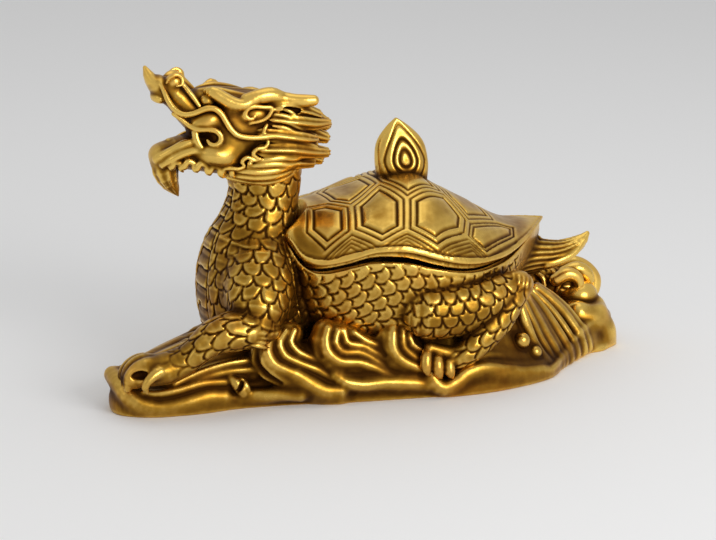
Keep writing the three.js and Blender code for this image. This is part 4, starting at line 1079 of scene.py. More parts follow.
EDGE_BANDS = [
    [(-24.6, -31.8, 9.6, 1.4), (-22, -32.6, 7.8, 2), (-17, -33.4, 6.4, 2), (-8.1, -34.2, 6.3, 2),
     (0, -35.2, 5.6, 2), (5.6, -36, 4.8, 1.6)],
    [(-37.6, -31, 11.4, 1.3), (-33.4, -31.8, 8, 1.5), (-27.5, -32.4, 4.8, 1.6), (-23, -32.8, 4.4, 1.2)],
    [(-92.8, -9, 10.8, 2.8), (-92, -16, 9.6, 2.8), (-91, -20.4, 7.4, 2.7), (-88.2, -22.4, 4.8, 2.6),
     (-84.4, -23.4, 3, 2.5), (-80.5, -24, 2.5, 2.4), (-75.6, -24.4, 3.2, 2.4), (-70.5, -24.6, 4.5, 2.3),
     (-65.7, -24.6, 5.2, 2.2), (-60.4, -24.6, 4.6, 2)],
    [(-53.4, -25, 4.6, 2.1), (-46.8, -27, 4.2, 2.2), (-41.7, -28.4, 4.4, 2.1), (-36, -30, 3.8, 1.8)],
    [(7.6, -35.6, 8.6, 1.8), (8.6, -36.8, 5.4, 2.3), (11.4, -37.2, 3.4, 2.4), (15, -37.2, 4.6, 2.3),
     (19.7, -37, 7.2, 2.3), (25.4, -36.4, 8, 2.3), (33.6, -35, 6.2, 2.3), (42, -32.2, 4.4, 2.2),
     (49.6, -28.6, 3.8, 2), (53.4, -25, 5, 1.6)],
]
REAR_FAN = (
    [(45, -23, 25, 1.5), (46.6, -24, 19, 1.8), (49.4, -24.4, 12, 1.8), (52.6, -25.4, 5.6, 1.7),
     (54, -26.2, 1.4, 1)],
    [(60, -5, 26, 1.5), (66.4, -6, 21, 1.8), (72.6, -7, 14.6, 1.8), (77, -8.4, 7.4, 1.7), (79, -9.2, 2.4, 1)],
    8,
)
FAR_FANS = [
    ([(-41, 26, 21, 1.7), (-39, 28.4, 16.4, 1.9), (-33, 29.8, 12, 1.9), (-24, 31, 7.4, 1.6)],
     [(-30, 26, 22, 1.3), (-27, 28, 19, 1.4), (-21, 29.4, 16.4, 1.3), (-13, 30.6, 12, 0.8)], 4),
    ([(-20, 26, 22, 1.7), (-19.6, 28.6, 17.4, 1.9), (-14, 30, 13, 1.9), (-4, 31.4, 7.6, 1.6)],
     [(-9, 26, 22, 1.3), (-7, 28.2, 19.4, 1.4), (-1, 29.6, 16.4, 1.3), (7, 30.8, 12, 0.8)], 4),
    ([(2, 26, 22, 1.7), (3, 28.6, 17, 1.9), (9, 30, 12.6, 1.9), (20, 31.2, 7.4, 1.6)],
     [(13, 26, 22, 1.3), (15, 28.4, 19, 1.4), (22, 29.6, 15.4, 1.3), (31, 30.4, 10.6, 0.8)], 4),
    ([(26, 27, 19, 1.6), (29, 29.4, 14, 1.8), (37, 30, 10, 1.7), (48, 29, 6.4, 1.4)],
     [(40, 25, 20, 1.4), (45, 27, 16, 1.5), (54, 26.6, 12, 1.3), (64, 24, 9, 1)], 3),
]
FAR_CRESTS = [
    [(-87, 2, 7.4, 2.4), (-82, 8, 5.6, 2.4), (-76, 16, 5.6, 2.3), (-66, 24, 6, 2.2), (-56, 27.6, 5, 2)],
    [(-54, 28, 5, 2.1), (-42, 30.4, 4.4, 2.2), (-30, 31, 4.4, 2)],
    [(-24, 31, 5.6, 2), (-10, 31.4, 5.4, 2.1), (4, 31.4, 5.2, 2)],
    [(8, 31.4, 5, 2), (24, 31, 4.8, 2.1), (42, 30, 4.6, 2), (56, 28.4, 4.6, 1.7)],
]
FRONT_FANS = [
    ([(-90, -8, 10.8, 2), (-84, -1, 10.6, 2), (-74, 7, 11.6, 1.8), (-64, 14, 13, 1.4)],
     [(-84, -14, 11.2, 1.8), (-78, -10, 12.4, 1.8), (-69, -6, 14.4, 1.6), (-60, -3, 16, 1.2)], 5),
    ([(-80, 6, 9.6, 1.6), (-72, 14, 9.8, 1.8), (-62, 21, 11, 1.7), (-52, 25, 13.4, 1.3)],
     [(-76, 4, 11.4, 1.5), (-68, 10, 12, 1.6), (-60, 15, 13.4, 1.5), (-52, 19, 15.4, 1.2)], 2),
]
VALLEYS = [
    [(-31.4, -29.6, 24, 1), (-31.2, -31.4, 20, 1.2), (-29.4, -32, 16.6, 0.6)],
    [(-51, -28.6, 20, 1.6), (-51, -29, 14.4, 2.4), (-47.4, -29.8, 11, 2), (-43, -30.8, 8.6, 0.8)],
    [(-9.4, -32, 22.4, 0.9), (-9.4, -33.4, 18.4, 1), (-8, -34, 15.6, 0.5)],
]
FOAM = [((43.5, -28.4, 14), (2.8, 2.6, 2.8)), ((49, -27.6, 9.2), (2.3, 2, 2.2)), ((83, 9, 17), (7, 7, 6))]


class Rock:
    """The rounded rock behind, with flats and dents: a ball between a sphere and a block."""

    CENTRE = (84, 5.5, 3)
    HALVES = (11, 12, 14.2)
    SKEW = 0.28
    LEAN = -0.12
    FULLNESS = 3.2
    MEAN_RADIUS = 11.5
    DENT = 0.5

    def box(self):
        return box_of((66, -14, -2), (99, 26, 24))

    def distance(self, x, y, z):
        pz = z - self.CENTRE[2]
        px = x - self.CENTRE[0] - self.LEAN * pz
        py = y - self.CENTRE[1] - px * self.SKEW
        shares = [np.abs(p) / half for p, half in zip((px, py, pz), self.HALVES)]
        k = sum(share**self.FULLNESS for share in shares) ** (1 / self.FULLNESS)
        wave = np.sin(px * 0.5 + 1) * np.sin(pz * 0.52 + 0.5) + 0.7 * np.sin(py * 0.55 + px * 0.35 + pz * 0.2)
        return np.maximum((k - 1) * self.MEAN_RADIUS + self.DENT * wave, -z)


def fan(first, last, count):
    """Ridges spread from one crest to another, broader and narrower by turns."""
    first, last = np.array(first, float), np.array(last, float)
    ridges = []
    for i, share in enumerate(np.linspace(0, 1, count)):
        ridge = first + (last - first) * (share + 0.03 * math.sin(9 * share))
        ridge[:, 3] *= 1.1 - 0.3 * (i % 2)
        ridges.append(ridge)
    return ridges


# A crest's broad back: how far in and down it lies, and how much broader it is
BACK_IN = 3.2
BACK_DOWN = 1.8
BACK_GROWTH = 2.7


def backing(stations):
    """A broad ridge behind a crest, that joins it to its neighbours as one wall."""
    inward = -np.sign(stations[0][1]) * BACK_IN
    return [(x, y + inward, z - BACK_DOWN, radius + BACK_GROWTH) for x, y, z, radius in stations]


RIDGE_SPACING = 1.8
BACK_SPACING = 3.5


def base_shapes():
    """What is joined to the bed of the waves in turn, and what is cut from it, each with its fillet."""
    backs = [(Strand(backing(crest), BACK_SPACING), 2) for crest in WALL_CRESTS]
    bands = [(Strand(band, RIDGE_SPACING), 2.4) for band in EDGE_BANDS]
    ridges = [ridge for ends in [REAR_FAN, *FAR_FANS, *FRONT_FANS] for ridge in fan(*ends)]
    slopes = [(Strand(ridge, RIDGE_SPACING), 1.8) for ridge in ridges]
    foam = [(Ball(centre, halves), 0.7) for centre, halves in FOAM]
    crests = [(Strand(crest, RIDGE_SPACING), 0.8) for crest in [*WALL_CRESTS, *FAR_CRESTS]]
    knob = [
        (Strand([(-57.8, -24.6, 10.6, 1.6), (-56, -26, 8.6, 2), (-54, -26.4, 5.6, 1.7)]), 0.5),
        (Strand([(-54.8, -25, 10, 1.2), (-53.2, -26.4, 7.8, 1.5), (-52.4, -26.6, 5.4, 1.1)]), 0.5),
    ]
    valleys = [(Strand(valley), 1) for valley in VALLEYS]
    knob_split = Ball((-55.2, -27.4, 8), (0.8, 1.6, 2.6), 30)
    return [(Rock(), 1.2), *backs, *bands, *slopes, *foam, *crests, *knob], [*valleys, (knob_split, 0.4)]


# The shell's horny plates, by the places where their borders meet: (x, share of the half-width)
KNOTS = {
    "neck_high": (-26.4, 0.21), "neck_low": (-30.3, 0.74), "first_top": (-18.3, 0.23),
    "first_low": (-26, 0.93),
    "first_second_high": (-12.8, 0.42), "first_second_low": (-16.4, 0.77), "second_top": (0.2, 0.18),
    "second_low": (-9.5, 0.95), "second_third_high": (4.4, 0.55), "second_third_low": (0, 0.86),
    "third_top": (20.3, 0.37), "third_low": (9.3, 0.95), "third_fourth_high": (25, 0.69),
    "third_fourth_low": (22, 0.83), "fourth_top": (39.1, 0.56), "fourth_low": (28.4, 0.95),
    "tail_high": (47.4, 0.6), "tail_low": (44.2, 0.86),
}
SIDE_PLATES = [
    ("neck_high", "first_top", "first_second_high", "first_second_low", "first_low", "neck_low"),
    ("first_second_high", "second_top", "second_third_high", "second_third_low", "second_low",
     "first_second_low"),
    ("second_third_high", "third_top", "third_fourth_high", "third_fourth_low", "third_low",
     "second_third_low"),
    ("third_fourth_high", "fourth_top", "tail_high", "tail_low", "fourth_low", "third_fourth_low"),
]
RIDGE_PLATES = [
    ("first_top", "first_second_high", "second_top"),
    ("second_top", "second_third_high", "third_top"),
    ("third_top", "third_fourth_high", "fourth_top"),
]
MARGIN_PLATES = [
    ("first_low", "first_second_low", "second_low"),
    ("second_low", "second_third_low", "third_low"),
    ("third_low", "third_fourth_low", "fourth_low"),
    ("fourth_low", "tail_low"),
]
# How far in from a plate's border its two grooves lie, and how far the strokes under the plates lie from it
INNER_GROOVE = 3.3
OUTER_GROOVE = 1.2
CHEVRONS = (1.1, 2.3, 3.5, 4.7)
DOME_ROWS = 120
# How close together the grooves of the last side plate and of the ridge's plates lie
LAST_PLATE = 0.5
RIDGE_PLATE = 0.9


def convex_inward(px, py, corners):
    """How far each place lies inside a convex outline; outside it is negative."""
    middle = np.mean(corners, axis=0)
    inward = np.full(px.shape, 1e9)
    for (ax, ay), (bx, by) in zip(corners, np.roll(corners, -1, axis=0)):
        normal = np.array((ay - by, bx - ax)) / math.hypot(bx - ax, by - ay)
        if normal @ (middle - (ax, ay)) < 0:
            normal = -normal
        inward = np.minimum(inward, (px - ax) * normal[0] + (py - ay) * normal[1])
    return inward


def line_gap(px, py, points):
    """How far each place lies from an open line of points."""
    nearest = np.full(px.shape, 1e9)
    for (ax, ay), (bx, by) in zip(points[:-1], points[1:]):
        run_x, run_y = bx - ax, by - ay
        t = np.clip(((px - ax) * run_x + (py - ay) * run_y) / (run_x**2 + run_y**2), 0, 1)
        nearest = np.minimum(nearest, np.hypot(px - ax - t * run_x, py - ay - t * run_y))
    return nearest


def shell_arc(x, y):
    """The distance over the dome from its ridge down to a place, at each x."""
    shares = np.linspace(0, 1, DOME_ROWS + 1)
    width = shell_width(x)[..., None]
    across = width * shares
    heights = dome_height(x[..., None] + 0 * across, across)
    lengths = np.hypot(np.diff(across, axis=-1), np.diff(heights, axis=-1))
    arc = np.concatenate([np.zeros(x.shape + (1,)), np.cumsum(lengths, axis=-1)], axis=-1)
    at = np.clip(np.abs(y) / np.maximum(width[..., 0], 1e-6), 0, 1) * DOME_ROWS
    low = np.clip(at.astype(int), 0, DOME_ROWS - 1)
    rows = np.arange(len(x))
    return arc[rows, low] + (arc[rows, low + 1] - arc[rows, low]) * (at - low)


def knot_place(name, side=1):
    x, share = KNOTS[name]
    at = np.array([float(x)])
    return np.array((x, side * shell_arc(at, share * shell_width(at))[0]))


def plate_relief(inward, small=1.0, depth=1.0):
    """The raised band, the grooves on both sides of it and the domed middle field of a plate."""
    inner = INNER_GROOVE * small
    outer = OUTER_GROOVE * small
    field = 0.25 * ramp(inner + 0.4, inner + 3, inward)
    band = 0.15 * ramp(outer, outer + 0.4, inward) * ramp(inner, inner - 0.4, inward)
    deep_groove = bell(inward - inner, 0.6, 0.55)
    fine_groove = bell(inward - outer, 0.42, 0.36)
    hairline = bell(inward - inner + 1.1, 0.2, 0.28)
    return (field + band - deep_groove - fine_groove - hairline) * depth * (inward > -0.4)


def shell_relief(x, y, depth):
    """The carving of the whole dome over a grid of plan places."""
    arc = np.stack([shell_arc(x[:, i], y[:, i]) for i in range(x.shape[1])], axis=1)
    relief = np.zeros(x.shape)
    reach = shell_arc(x[:, 0], shell_width(x[:, 0]))[:, None]
    for names in SIDE_PLATES:
        corners = np.array([knot_place(name) for name in names])
        small = LAST_PLATE if names is SIDE_PLATES[-1] else 1.0
        relief += plate_relief(convex_inward(x, arc, corners), small, depth)
    for names in RIDGE_PLATES:
        half = [knot_place(name) for name in names]
        corners = np.array(half + [(px, -py) for px, py in half[::-1]])
        relief += plate_relief(convex_inward(x, arc, corners), RIDGE_PLATE, depth)
    for names in MARGIN_PLATES:
        line = [knot_place(name) for name in names]
        gap = line_gap(x, arc, np.array(line))
        low, high = line[0], line[-1]
        share = np.clip((x - low[0]) / (high[0] - low[0]), 0, 1)
        chord = low[1] + (high[1] - low[1]) * share
        peak = line[1][1] if len(line) > 2 else chord
        span = ramp(low[0] - 1, low[0] + 1, x) * ramp(high[0] + 1, high[0] - 1, x)
        under = span * ramp(-1.5, 0.4, arc - (peak + (chord - peak) * np.abs(2 * share - 1)))
        for i, chevron in enumerate(CHEVRONS):
            relief -= bell(gap - chevron, (0.45 - 0.05 * i) * depth, 0.4) * under
    edge = reach - arc
    relief += bell(edge - 0.6, 0.45, 0.9) - bell(edge - 2.2, 0.3, 0.5)
    return relief * ramp(-37, -34, x)


class Shell:
    """The lid's dome above the rim, carved into plates."""

    def __init__(self, depth):
        self.depth = depth

    def box(self):
        return box_of((-40, -42, 40), (67, 42, 74))

    def distance(self, x, y, z):
        flat_x, flat_y = x.reshape(-1).astype(float), y.reshape(-1).astype(float)
        plan_x, plan_y = np.meshgrid(flat_x, flat_y, indexing="ij")
        top = dome_height(plan_x, plan_y)
        slope_x, slope_y = np.gradient(top, flat_x, flat_y)
        norm = np.minimum(np.sqrt(1 + slope_x**2 + slope_y**2), 6)
        relief = shell_relief(plan_x, plan_y, self.depth)
        shaped = (top / norm + relief).astype(np.float32)[:, :, None]
        above = z / norm.astype(np.float32)[:, :, None] - shaped
        under = rim_height(flat_x)[:, None, None].astype(np.float32) - z
        edge = outline_distance(x, y, 0)
        around = -blended(-edge, -under, 1.2)
        return -blended(-above, -around, 1.0)


FLANGE_CLEARANCE = 0.5
FLANGE_THICKNESS = 1.6
FLANGE_DEPTH = 2.4


class ShellInside:
    """The hollow under the dome, whose wall is thicker toward the rim."""

    WALL_SPREAD = 0.25

    def box(self):
        return box_of((-40, -42, 36), (67, 42, 74))

    def distance(self, x, y, z):
        flat_x, flat_y = x.reshape(-1).astype(float), y.reshape(-1).astype(float)
        plan_x, plan_y = np.meshgrid(flat_x, flat_y, indexing="ij")
        share = np.clip(np.abs(plan_y) / np.maximum(shell_width(plan_x), 1e-3), 0, 1)
        top = dome_height(plan_x, plan_y) - LID_WALL * (1 + self.WALL_SPREAD * share)
        slope_x, slope_y = np.gradient(top, flat_x, flat_y)
        norm = np.minimum(np.sqrt(1 + slope_x**2 + slope_y**2), 6)
        above = (z - top[:, :, None]) / norm[:, :, None]
        edge = outline_distance(x, y, RIM_INSET + BOWL_WALL + FLANGE_CLEARANCE + FLANGE_THICKNESS)
        column = NECK_HOLE[1] + LID_CLEARANCE + LID_WALL - np.sqrt((x - NECK_HOLE[0]) ** 2 + y**2)
        return np.maximum(np.maximum(above, edge), column).astype(np.float32)


class Flange:
    """The ring under the rim that keeps the lid on the bowl."""

    def box(self):
        return box_of((-40, -40, 36), (66, 40, 60))

    def distance(self, x, y, z):
        rim = rim_height(x.reshape(-1).astype(float))[:, None, None].astype(np.float32)
        edge = outline_distance(x, y, RIM_INSET + BOWL_WALL + FLANGE_CLEARANCE)
        column = NECK_HOLE[1] + BOWL_WALL + FLANGE_CLEARANCE - np.sqrt((x - NECK_HOLE[0]) ** 2 + y**2)
        upright = np.maximum(z - rim - LIP_HEIGHT, rim - FLANGE_DEPTH - z)
        return np.maximum(np.maximum(edge, upright), column)


FLAME_ROOT = 62
FLAME_FOOT = 64
FLAME_TIP = 87.6
FLAME_HEART = (10.8, 73.6)
FLAME_REACH = 9.2
# The nested grooves: (share of the way from the heart to the outline, width, depth)
FLAME_GROOVES = ((0.78, 0.05, 0.45), (0.46, 0.05, 0.55), (0.22, 0.06, 0.5))
flame_half_width = profile([
    (FLAME_FOOT, 8), (68, 9), (72.6, 9.4), (78, 8.8), (81, 7.4), (83.6, 5.2), (85.8, 2.8), (FLAME_TIP, 0.3),
])
flame_middle = profile([(FLAME_FOOT, 11.2), (72, 10.6), (80, 9.8), (FLAME_TIP, 8.6)])
flame_half_thickness = profile([(FLAME_FOOT, 4.8), (71, 5.1), (80, 3.4), (FLAME_TIP, 0.8)])


class Flame:
    """The flame on the shell's top, flat across the figure, with nested drop-shaped grooves."""

    def box(self):
        return box_of((-2, -9, 60), (24, 9, 90))

    def drop(self, x, z):
        """Drop shapes round the flame's heart: 0 at the heart and about 1 at the outline."""
        heart_x, heart_z = FLAME_HEART
        low = np.clip((heart_z - z) / (heart_z - FLAME_FOOT), 0, 1)
        high = np.clip((z - heart_z) / (FLAME_TIP - heart_z), 0, 1)
        drift = flame_middle(z) - heart_x
        aside = (x - heart_x - drift) / FLAME_REACH / np.maximum(1 - high**1.3 * 0.75, 0.1)
        return np.hypot(aside, np.maximum(high * 0.9, low))

    def distance(self, x, y, z):
        height = z.reshape(-1).astype(float)
        plan_x, plan_z = np.meshgrid(x.reshape(-1).astype(float), height, indexing="ij")
        share = np.abs(plan_x - flame_middle(plan_z)) / flame_half_width(plan_z)
        thickness = flame_half_thickness(plan_z) * np.sqrt(np.clip(1 - share**2.4, 0, 1)) ** 0.9
        drop = self.drop(plan_x, plan_z)
        relief = 0
        for level, width, depth in FLAME_GROOVES:
            relief = relief - bell(drop - level, depth, width)
        body = (thickness + relief * ramp(0.2, 1.4, thickness))[:, None, :]
        slope_x, slope_z = np.gradient(thickness, x.reshape(-1), height)
        norm = np.clip(np.sqrt(1 + slope_x**2 + slope_z**2), 1, 4)[:, None, :]
        beside = (np.abs(y) - body) / norm
        ends = np.maximum(z - FLAME_TIP, FLAME_ROOT - z)
        middle, half = flame_middle(height)[None, None, :], flame_half_width(height)[None, None, :]
        sides = (np.abs(x - middle) - half) * 0.9
        return np.maximum(np.maximum(beside, ends), sides).astype(np.float32)


# Turning clay into meshes
def main_body(points, quads):
    """The largest connected skin: loose crumbs and sealed bubbles are left out."""
    label = np.arange(len(points))
    links = np.vstack([quads[:, [0, 1]], quads[:, [1, 2]], quads[:, [2, 3]], quads[:, [3, 0]]])
    while True:
        low = np.minimum(label[links[:, 0]], label[links[:, 1]])
        before = label.copy()
        np.minimum.at(label, links[:, 0], low)
        np.minimum.at(label, links[:, 1], low)
        label = label[label]
        label = label[label]
        if (label == before).all():
            break
    names, counts = np.unique(label, return_counts=True)
    kept = label == names[np.argmax(counts)]
    index = np.cumsum(kept) - 1
    return points[kept], index[quads[kept[quads[:, 0]]]]


def new_mesh(name, points, faces):
    mesh = bpy.data.meshes.new(name)
    mesh.vertices.add(len(points))
    mesh.vertices.foreach_set("co", points.astype(np.float32).ravel())
    mesh.loops.add(faces.size)
    mesh.loops.foreach_set("vertex_index", faces.astype(np.int32).ravel())
    mesh.polygons.add(len(faces))
    mesh.polygons.foreach_set("loop_start", np.arange(0, faces.size, faces.shape[1], dtype=np.int32))
    mesh.update(calc_edges=True)
    return mesh


def set_in_frame(points):
    """Drawn millimetres to the frame's metres."""
    return points * METRES + np.array(OFFSET)


FAR_AWAY = 1000


def cast(name, clay, triangles, material, node, low_x=-FAR_AWAY, high_x=FAR_AWAY):
    """Makes the clay between two x into a mesh of at most so many triangles that stands for a CAD node."""
    xs = clay.low[0] + clay.step * np.arange(clay.field.shape[0])
    kept = (xs > low_x - 2 * clay.step) & (xs < high_x + 2 * clay.step)
    xs = xs[kept]
    ends = np.maximum(low_x - xs, xs - high_x).astype(np.float32)
    grid = openvdb.FloatGrid(FAR)
    grid.copyFromArray(np.clip(np.maximum(clay.field[kept], ends[:, None, None]), -FAR, FAR))
    points, quads = grid.convertToQuads(0.0)
    points, quads = main_body(np.asarray(points, float), np.asarray(quads, np.int64))
    corner = np.array([xs[0], clay.low[1], clay.low[2]])
    dense = bpy.data.objects.new(name, new_mesh(name, points * clay.step + corner, quads))
    bpy.context.scene.collection.objects.link(dense)
    thin = dense.modifiers.new("Fewer faces", "DECIMATE")
    thin.ratio = min(triangles / (2 * len(quads)), 1)
    thin.use_collapse_triangulate = True
    evaluated = dense.evaluated_get(bpy.context.evaluated_depsgraph_get())
    mesh = bpy.data.meshes.new_from_object(evaluated)
    bpy.data.objects.remove(dense)
    mesh.name = name
    drawn = np.empty(len(mesh.vertices) * 3, np.float32)
    mesh.vertices.foreach_get("co", drawn)
    drawn = drawn.reshape(-1, 3).astype(float)
    # The tone carries dark oxide in fine recesses and painted shade in broad hollows
    tone = mesh.attributes.new("tone", "FLOAT", "POINT")
    tone.data.foreach_set("value", surface_tone(clay, drawn).astype(np.float32))
    normals = surface_normals(clay, drawn)
    mesh.vertices.foreach_set("co", set_in_frame(drawn).astype(np.float32).ravel())
    mesh.polygons.foreach_set("use_smooth", np.ones(len(mesh.polygons), bool))
    mesh.update()
    mesh.normals_split_custom_set_from_vertices(normals.tolist())
    mesh.materials.clear()
    mesh.materials.append(material)
    piece = bpy.data.objects.new(name, mesh)
    bpy.context.scene.collection.objects.link(piece)
    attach(piece, "root")
    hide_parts(node)
    print(name, "triangles", len(mesh.polygons), "of", 2 * len(quads))


# How far round each place the tone looks, for fine recesses with their dark oxide and for broad hollows
# darkened as painted shade, and how much each counts
FINE_RADIUS = 0.9
BROAD_SHADE_RADIUS = 3.2
FINE_WEIGHT = 1.9
BROAD_SHADE_WEIGHT = 1.1
LEVEL_TONE = 0.58


def surface_tone(clay, points):
    """How exposed each place is, from 0 in the depth of a recess to 1 on a ridge, with broad hollows darkened
    as painted shade.
    """
    fine = clay.sample(clay.spread(FINE_RADIUS), points) / FINE_RADIUS
    # The broad spread darkens wide hollows as painted shade
    broad = clay.sample(clay.spread(BROAD_SHADE_RADIUS), points) / BROAD_SHADE_RADIUS
    return np.clip(LEVEL_TONE + FINE_WEIGHT * fine + BROAD_SHADE_WEIGHT * broad, 0, 1)


NORMAL_REACH = 0.9


def surface_normals(clay, points):
    """The directions in which the distance grows fastest, as unit vectors."""
    reach = clay.step * NORMAL_REACH
    normals = np.empty((len(points), 3))
    for axis in range(3):
        shift = np.zeros(3)
        shift[axis] = reach
        normals[:, axis] = clay.sample(clay.field, points + shift) - clay.sample(clay.field, points - shift)
    length = np.linalg.norm(normals, axis=1, keepdims=True)
    return normals / np.maximum(length, 1e-9)


# Materials
STAIN_SCALE = 70
SMUDGE_SCALE = 320
SWELL_SCALE = 240
GRAIN_SCALE = 1600
# How much of the tone is smudged, and the heights in metres between which the painted shade, darker towards
# the bottom, thins out
SMUDGE_SHARE = 0.22
SHADE_FULL_BELOW = 0.005
SHADE_THIN_ABOVE = 0.085
# The x in metres from which the rock and the foot behind are brightened with painted light
LIT_FROM = 0.068
LIT_OVER = 0.01
# The tones of the recesses with their dark oxide and painted shade, the aged brass beside them darkened
# further by painted shade, the open faces and the polished ridges
PATINA_AND_SHADE_TONES = (0.2, 0.42, 0.64, 0.92)
STAINS_BEGIN = 0.5
STAINS_FULL = 0.72
RECESS_ROUGHNESS = 0.62
ROUGH_TONE = 0.15
SMOOTH_TONE = 0.8
UNEVEN_POLISH = 0.16
# Strength and distance in metres of the casting's swells and of its pits
SWELL_BUMP = (0.35, 0.00035)
PIT_BUMP = (0.25, 0.00008)
STAIN_STRENGTH = {"Turtle brass": 0.5, "Shell brass": 0.3}


def feed(tree, socket, value):
    """Gives a socket a plain number, or links it to another node's output."""
    if isinstance(value, bpy.types.NodeSocket):
        tree.links.new(value, socket)
    else:
        socket.default_value = value


def noise(tree, place, scale, detail=2):
    node = tree.nodes.new("ShaderNodeTexNoise")
    feed(tree, node.inputs["Scale"], scale)
    feed(tree, node.inputs["Detail"], detail)
    feed(tree, node.inputs["Vector"], place)
    return node.outputs["Fac"]


def calculate(tree, operation, *values):
    node = tree.nodes.new("ShaderNodeMath")
    node.operation = operation
    for socket, value in zip(node.inputs, values):
        feed(tree, socket, value)
    return node.outputs[0]


def spread_between(tree, value, low, high, to_low, to_high):
    """Maps the numbers from low to high to those from to_low to to_high."""
    node = tree.nodes.new("ShaderNodeMapRange")
    feed(tree, node.inputs["Value"], value)
    feed(tree, node.inputs["From Min"], low)
    feed(tree, node.inputs["From Max"], high)
    feed(tree, node.inputs["To Min"], to_low)
    feed(tree, node.inputs["To Max"], to_high)
    return node.outputs["Result"]


def patina_and_shade(tree, tone, finish):
    """The brass's colour, from the dark recesses with their oxide and painted shade to the polished ridges.
    """
    node = tree.nodes.new("ShaderNodeValToRGB")
    feed(tree, node.inputs["Fac"], tone)
    elements = node.color_ramp.elements
    elements.remove(elements[1])
    colours = (finish.recess_colour, finish.aged_and_shaded_colour, finish.face_colour, finish.polished_colour)
    for i, (position, colour) in enumerate(zip(PATINA_AND_SHADE_TONES, colours)):
        element = elements.new(position) if i else elements[0]
        element.position = position
        element.color = (*colour, 1)
    return node.outputs["Color"]


def stained(tree, colour, stain_colour, share):
    """A colour multiplied by the stains' colour, as far as their share goes."""
    node = tree.nodes.new("ShaderNodeMix")
    node.data_type = "RGBA"
    node.blend_type = "MULTIPLY"
    feed(tree, node.inputs["Factor"], share)
    feed(tree, node.inputs["A"], colour)
    node.inputs["B"].default_value = (*stain_colour, 1)
    return node.outputs["Result"]


def bumped(tree, height, strength, distance, normal=None):
    node = tree.nodes.new("ShaderNodeBump")
    feed(tree, node.inputs["Height"], height)
    feed(tree, node.inputs["Strength"], strength)
    feed(tree, node.inputs["Distance"], distance)
    if normal:
        feed(tree, node.inputs["Normal"], normal)
    return node.outputs["Normal"]


def brass(name, finish, stain_strength):
    """Polished brass, with dark oxide in its fine recesses, painted shade in its broad hollows and low down,
    painted light on the rock behind, and with copper-red stains.
    """
    material = bpy.data.materials.new(name)
    material.use_nodes = True
    tree = material.node_tree
    shader = tree.nodes["Principled BSDF"]
    shader.inputs["Metallic"].default_value = 1
    exposure = tree.nodes.new("ShaderNodeAttribute")
    exposure.attribute_name = "tone"
    place = tree.nodes.new("ShaderNodeTexCoord").outputs["Object"]
    axes = tree.nodes.new("ShaderNodeSeparateXYZ")
    feed(tree, axes.inputs[0], place)
    stains = noise(tree, place, STAIN_SCALE, 4)
    smudges = noise(tree, place, SMUDGE_SCALE, 3)

    # The tone: darker low down as painted shade, brighter on the rock behind as painted light, and smudged so
    # that the edge of the dark tones isn't even
    painted_shade = spread_between(tree, axes.outputs["Z"], SHADE_FULL_BELOW, SHADE_THIN_ABOVE, finish.low_painted_shade,
                           finish.high_painted_shade)
    # Painted light: the rock and the foot behind are made brighter
    painted_light = spread_between(tree, axes.outputs["X"], LIT_FROM, LIT_FROM + LIT_OVER, 0, finish.rock_painted_light)
    darkening = calculate(tree, "SUBTRACT", painted_shade, painted_light)
    darkened = calculate(tree, "SUBTRACT", exposure.outputs["Fac"], darkening)
    tone = calculate(tree, "MULTIPLY_ADD", smudges, SMUDGE_SHARE, darkened)

    stain_share = spread_between(tree, stains, STAINS_BEGIN, STAINS_FULL, 0, stain_strength)
    colour = stained(tree, patina_and_shade(tree, tone, finish), finish.stain_colour, stain_share)
    feed(tree, shader.inputs["Base Color"], colour)

    dullness = spread_between(tree, tone, ROUGH_TONE, SMOOTH_TONE, RECESS_ROUGHNESS, finish.roughness)
    roughness = calculate(tree, "MULTIPLY_ADD", stains, UNEVEN_POLISH, dullness)
    feed(tree, shader.inputs["Roughness"], roughness)

    # The unevenness of a casting polished by hand
    swells = bumped(tree, noise(tree, place, SWELL_SCALE, 3), *SWELL_BUMP)
    pits = bumped(tree, noise(tree, place, GRAIN_SCALE), *PIT_BUMP, swells)
    feed(tree, shader.inputs["Normal"], pits)
    return material


def brass_for(name):
    """The brass of a name, made once."""
    return bpy.data.materials.get(name) or brass(name, bpy.context.scene.turtle_finish, STAIN_STRENGTH[name])


# What a user would change
class SculptSettings(bpy.types.PropertyGroup):
    scale_depth: bpy.props.FloatProperty(
        name="Scale depth", description="How far the scales' tips stand above their roots",
        default=0.65 * MM, min=0, soft_max=2 * MM, precision=5, unit="LENGTH")
    plate_depth: bpy.props.FloatProperty(
        name="Plate carving", description="How deep the shell's plates are carved, against the real one",
        default=1, min=0, soft_max=2, subtype="FACTOR")
    figure_grain: bpy.props.FloatProperty(
        name="Figure grain", description="The size of the cells that the body and limbs are sculpted in",
        default=0.4 * MM, min=0.2 * MM, precision=5, unit="LENGTH")
    head_grain: bpy.props.FloatProperty(
        name="Head grain", description="The size of the cells that the head is sculpted in",
        default=0.27 * MM, min=0.15 * MM, precision=5, unit="LENGTH")
    base_grain: bpy.props.FloatProperty(
        name="Base grain", description="The size of the cells that the base of waves is sculpted in",
        default=0.45 * MM, min=0.2 * MM, precision=5, unit="LENGTH")
    shell_grain: bpy.props.FloatProperty(
        name="Shell grain", description="The size of the cells that the lid is sculpted in",
        default=0.33 * MM, min=0.2 * MM, precision=5, unit="LENGTH")
    triangles: bpy.props.IntProperty(
        name="Triangles", description="The most triangles in one piece",
        default=185000, min=10000, max=199000)


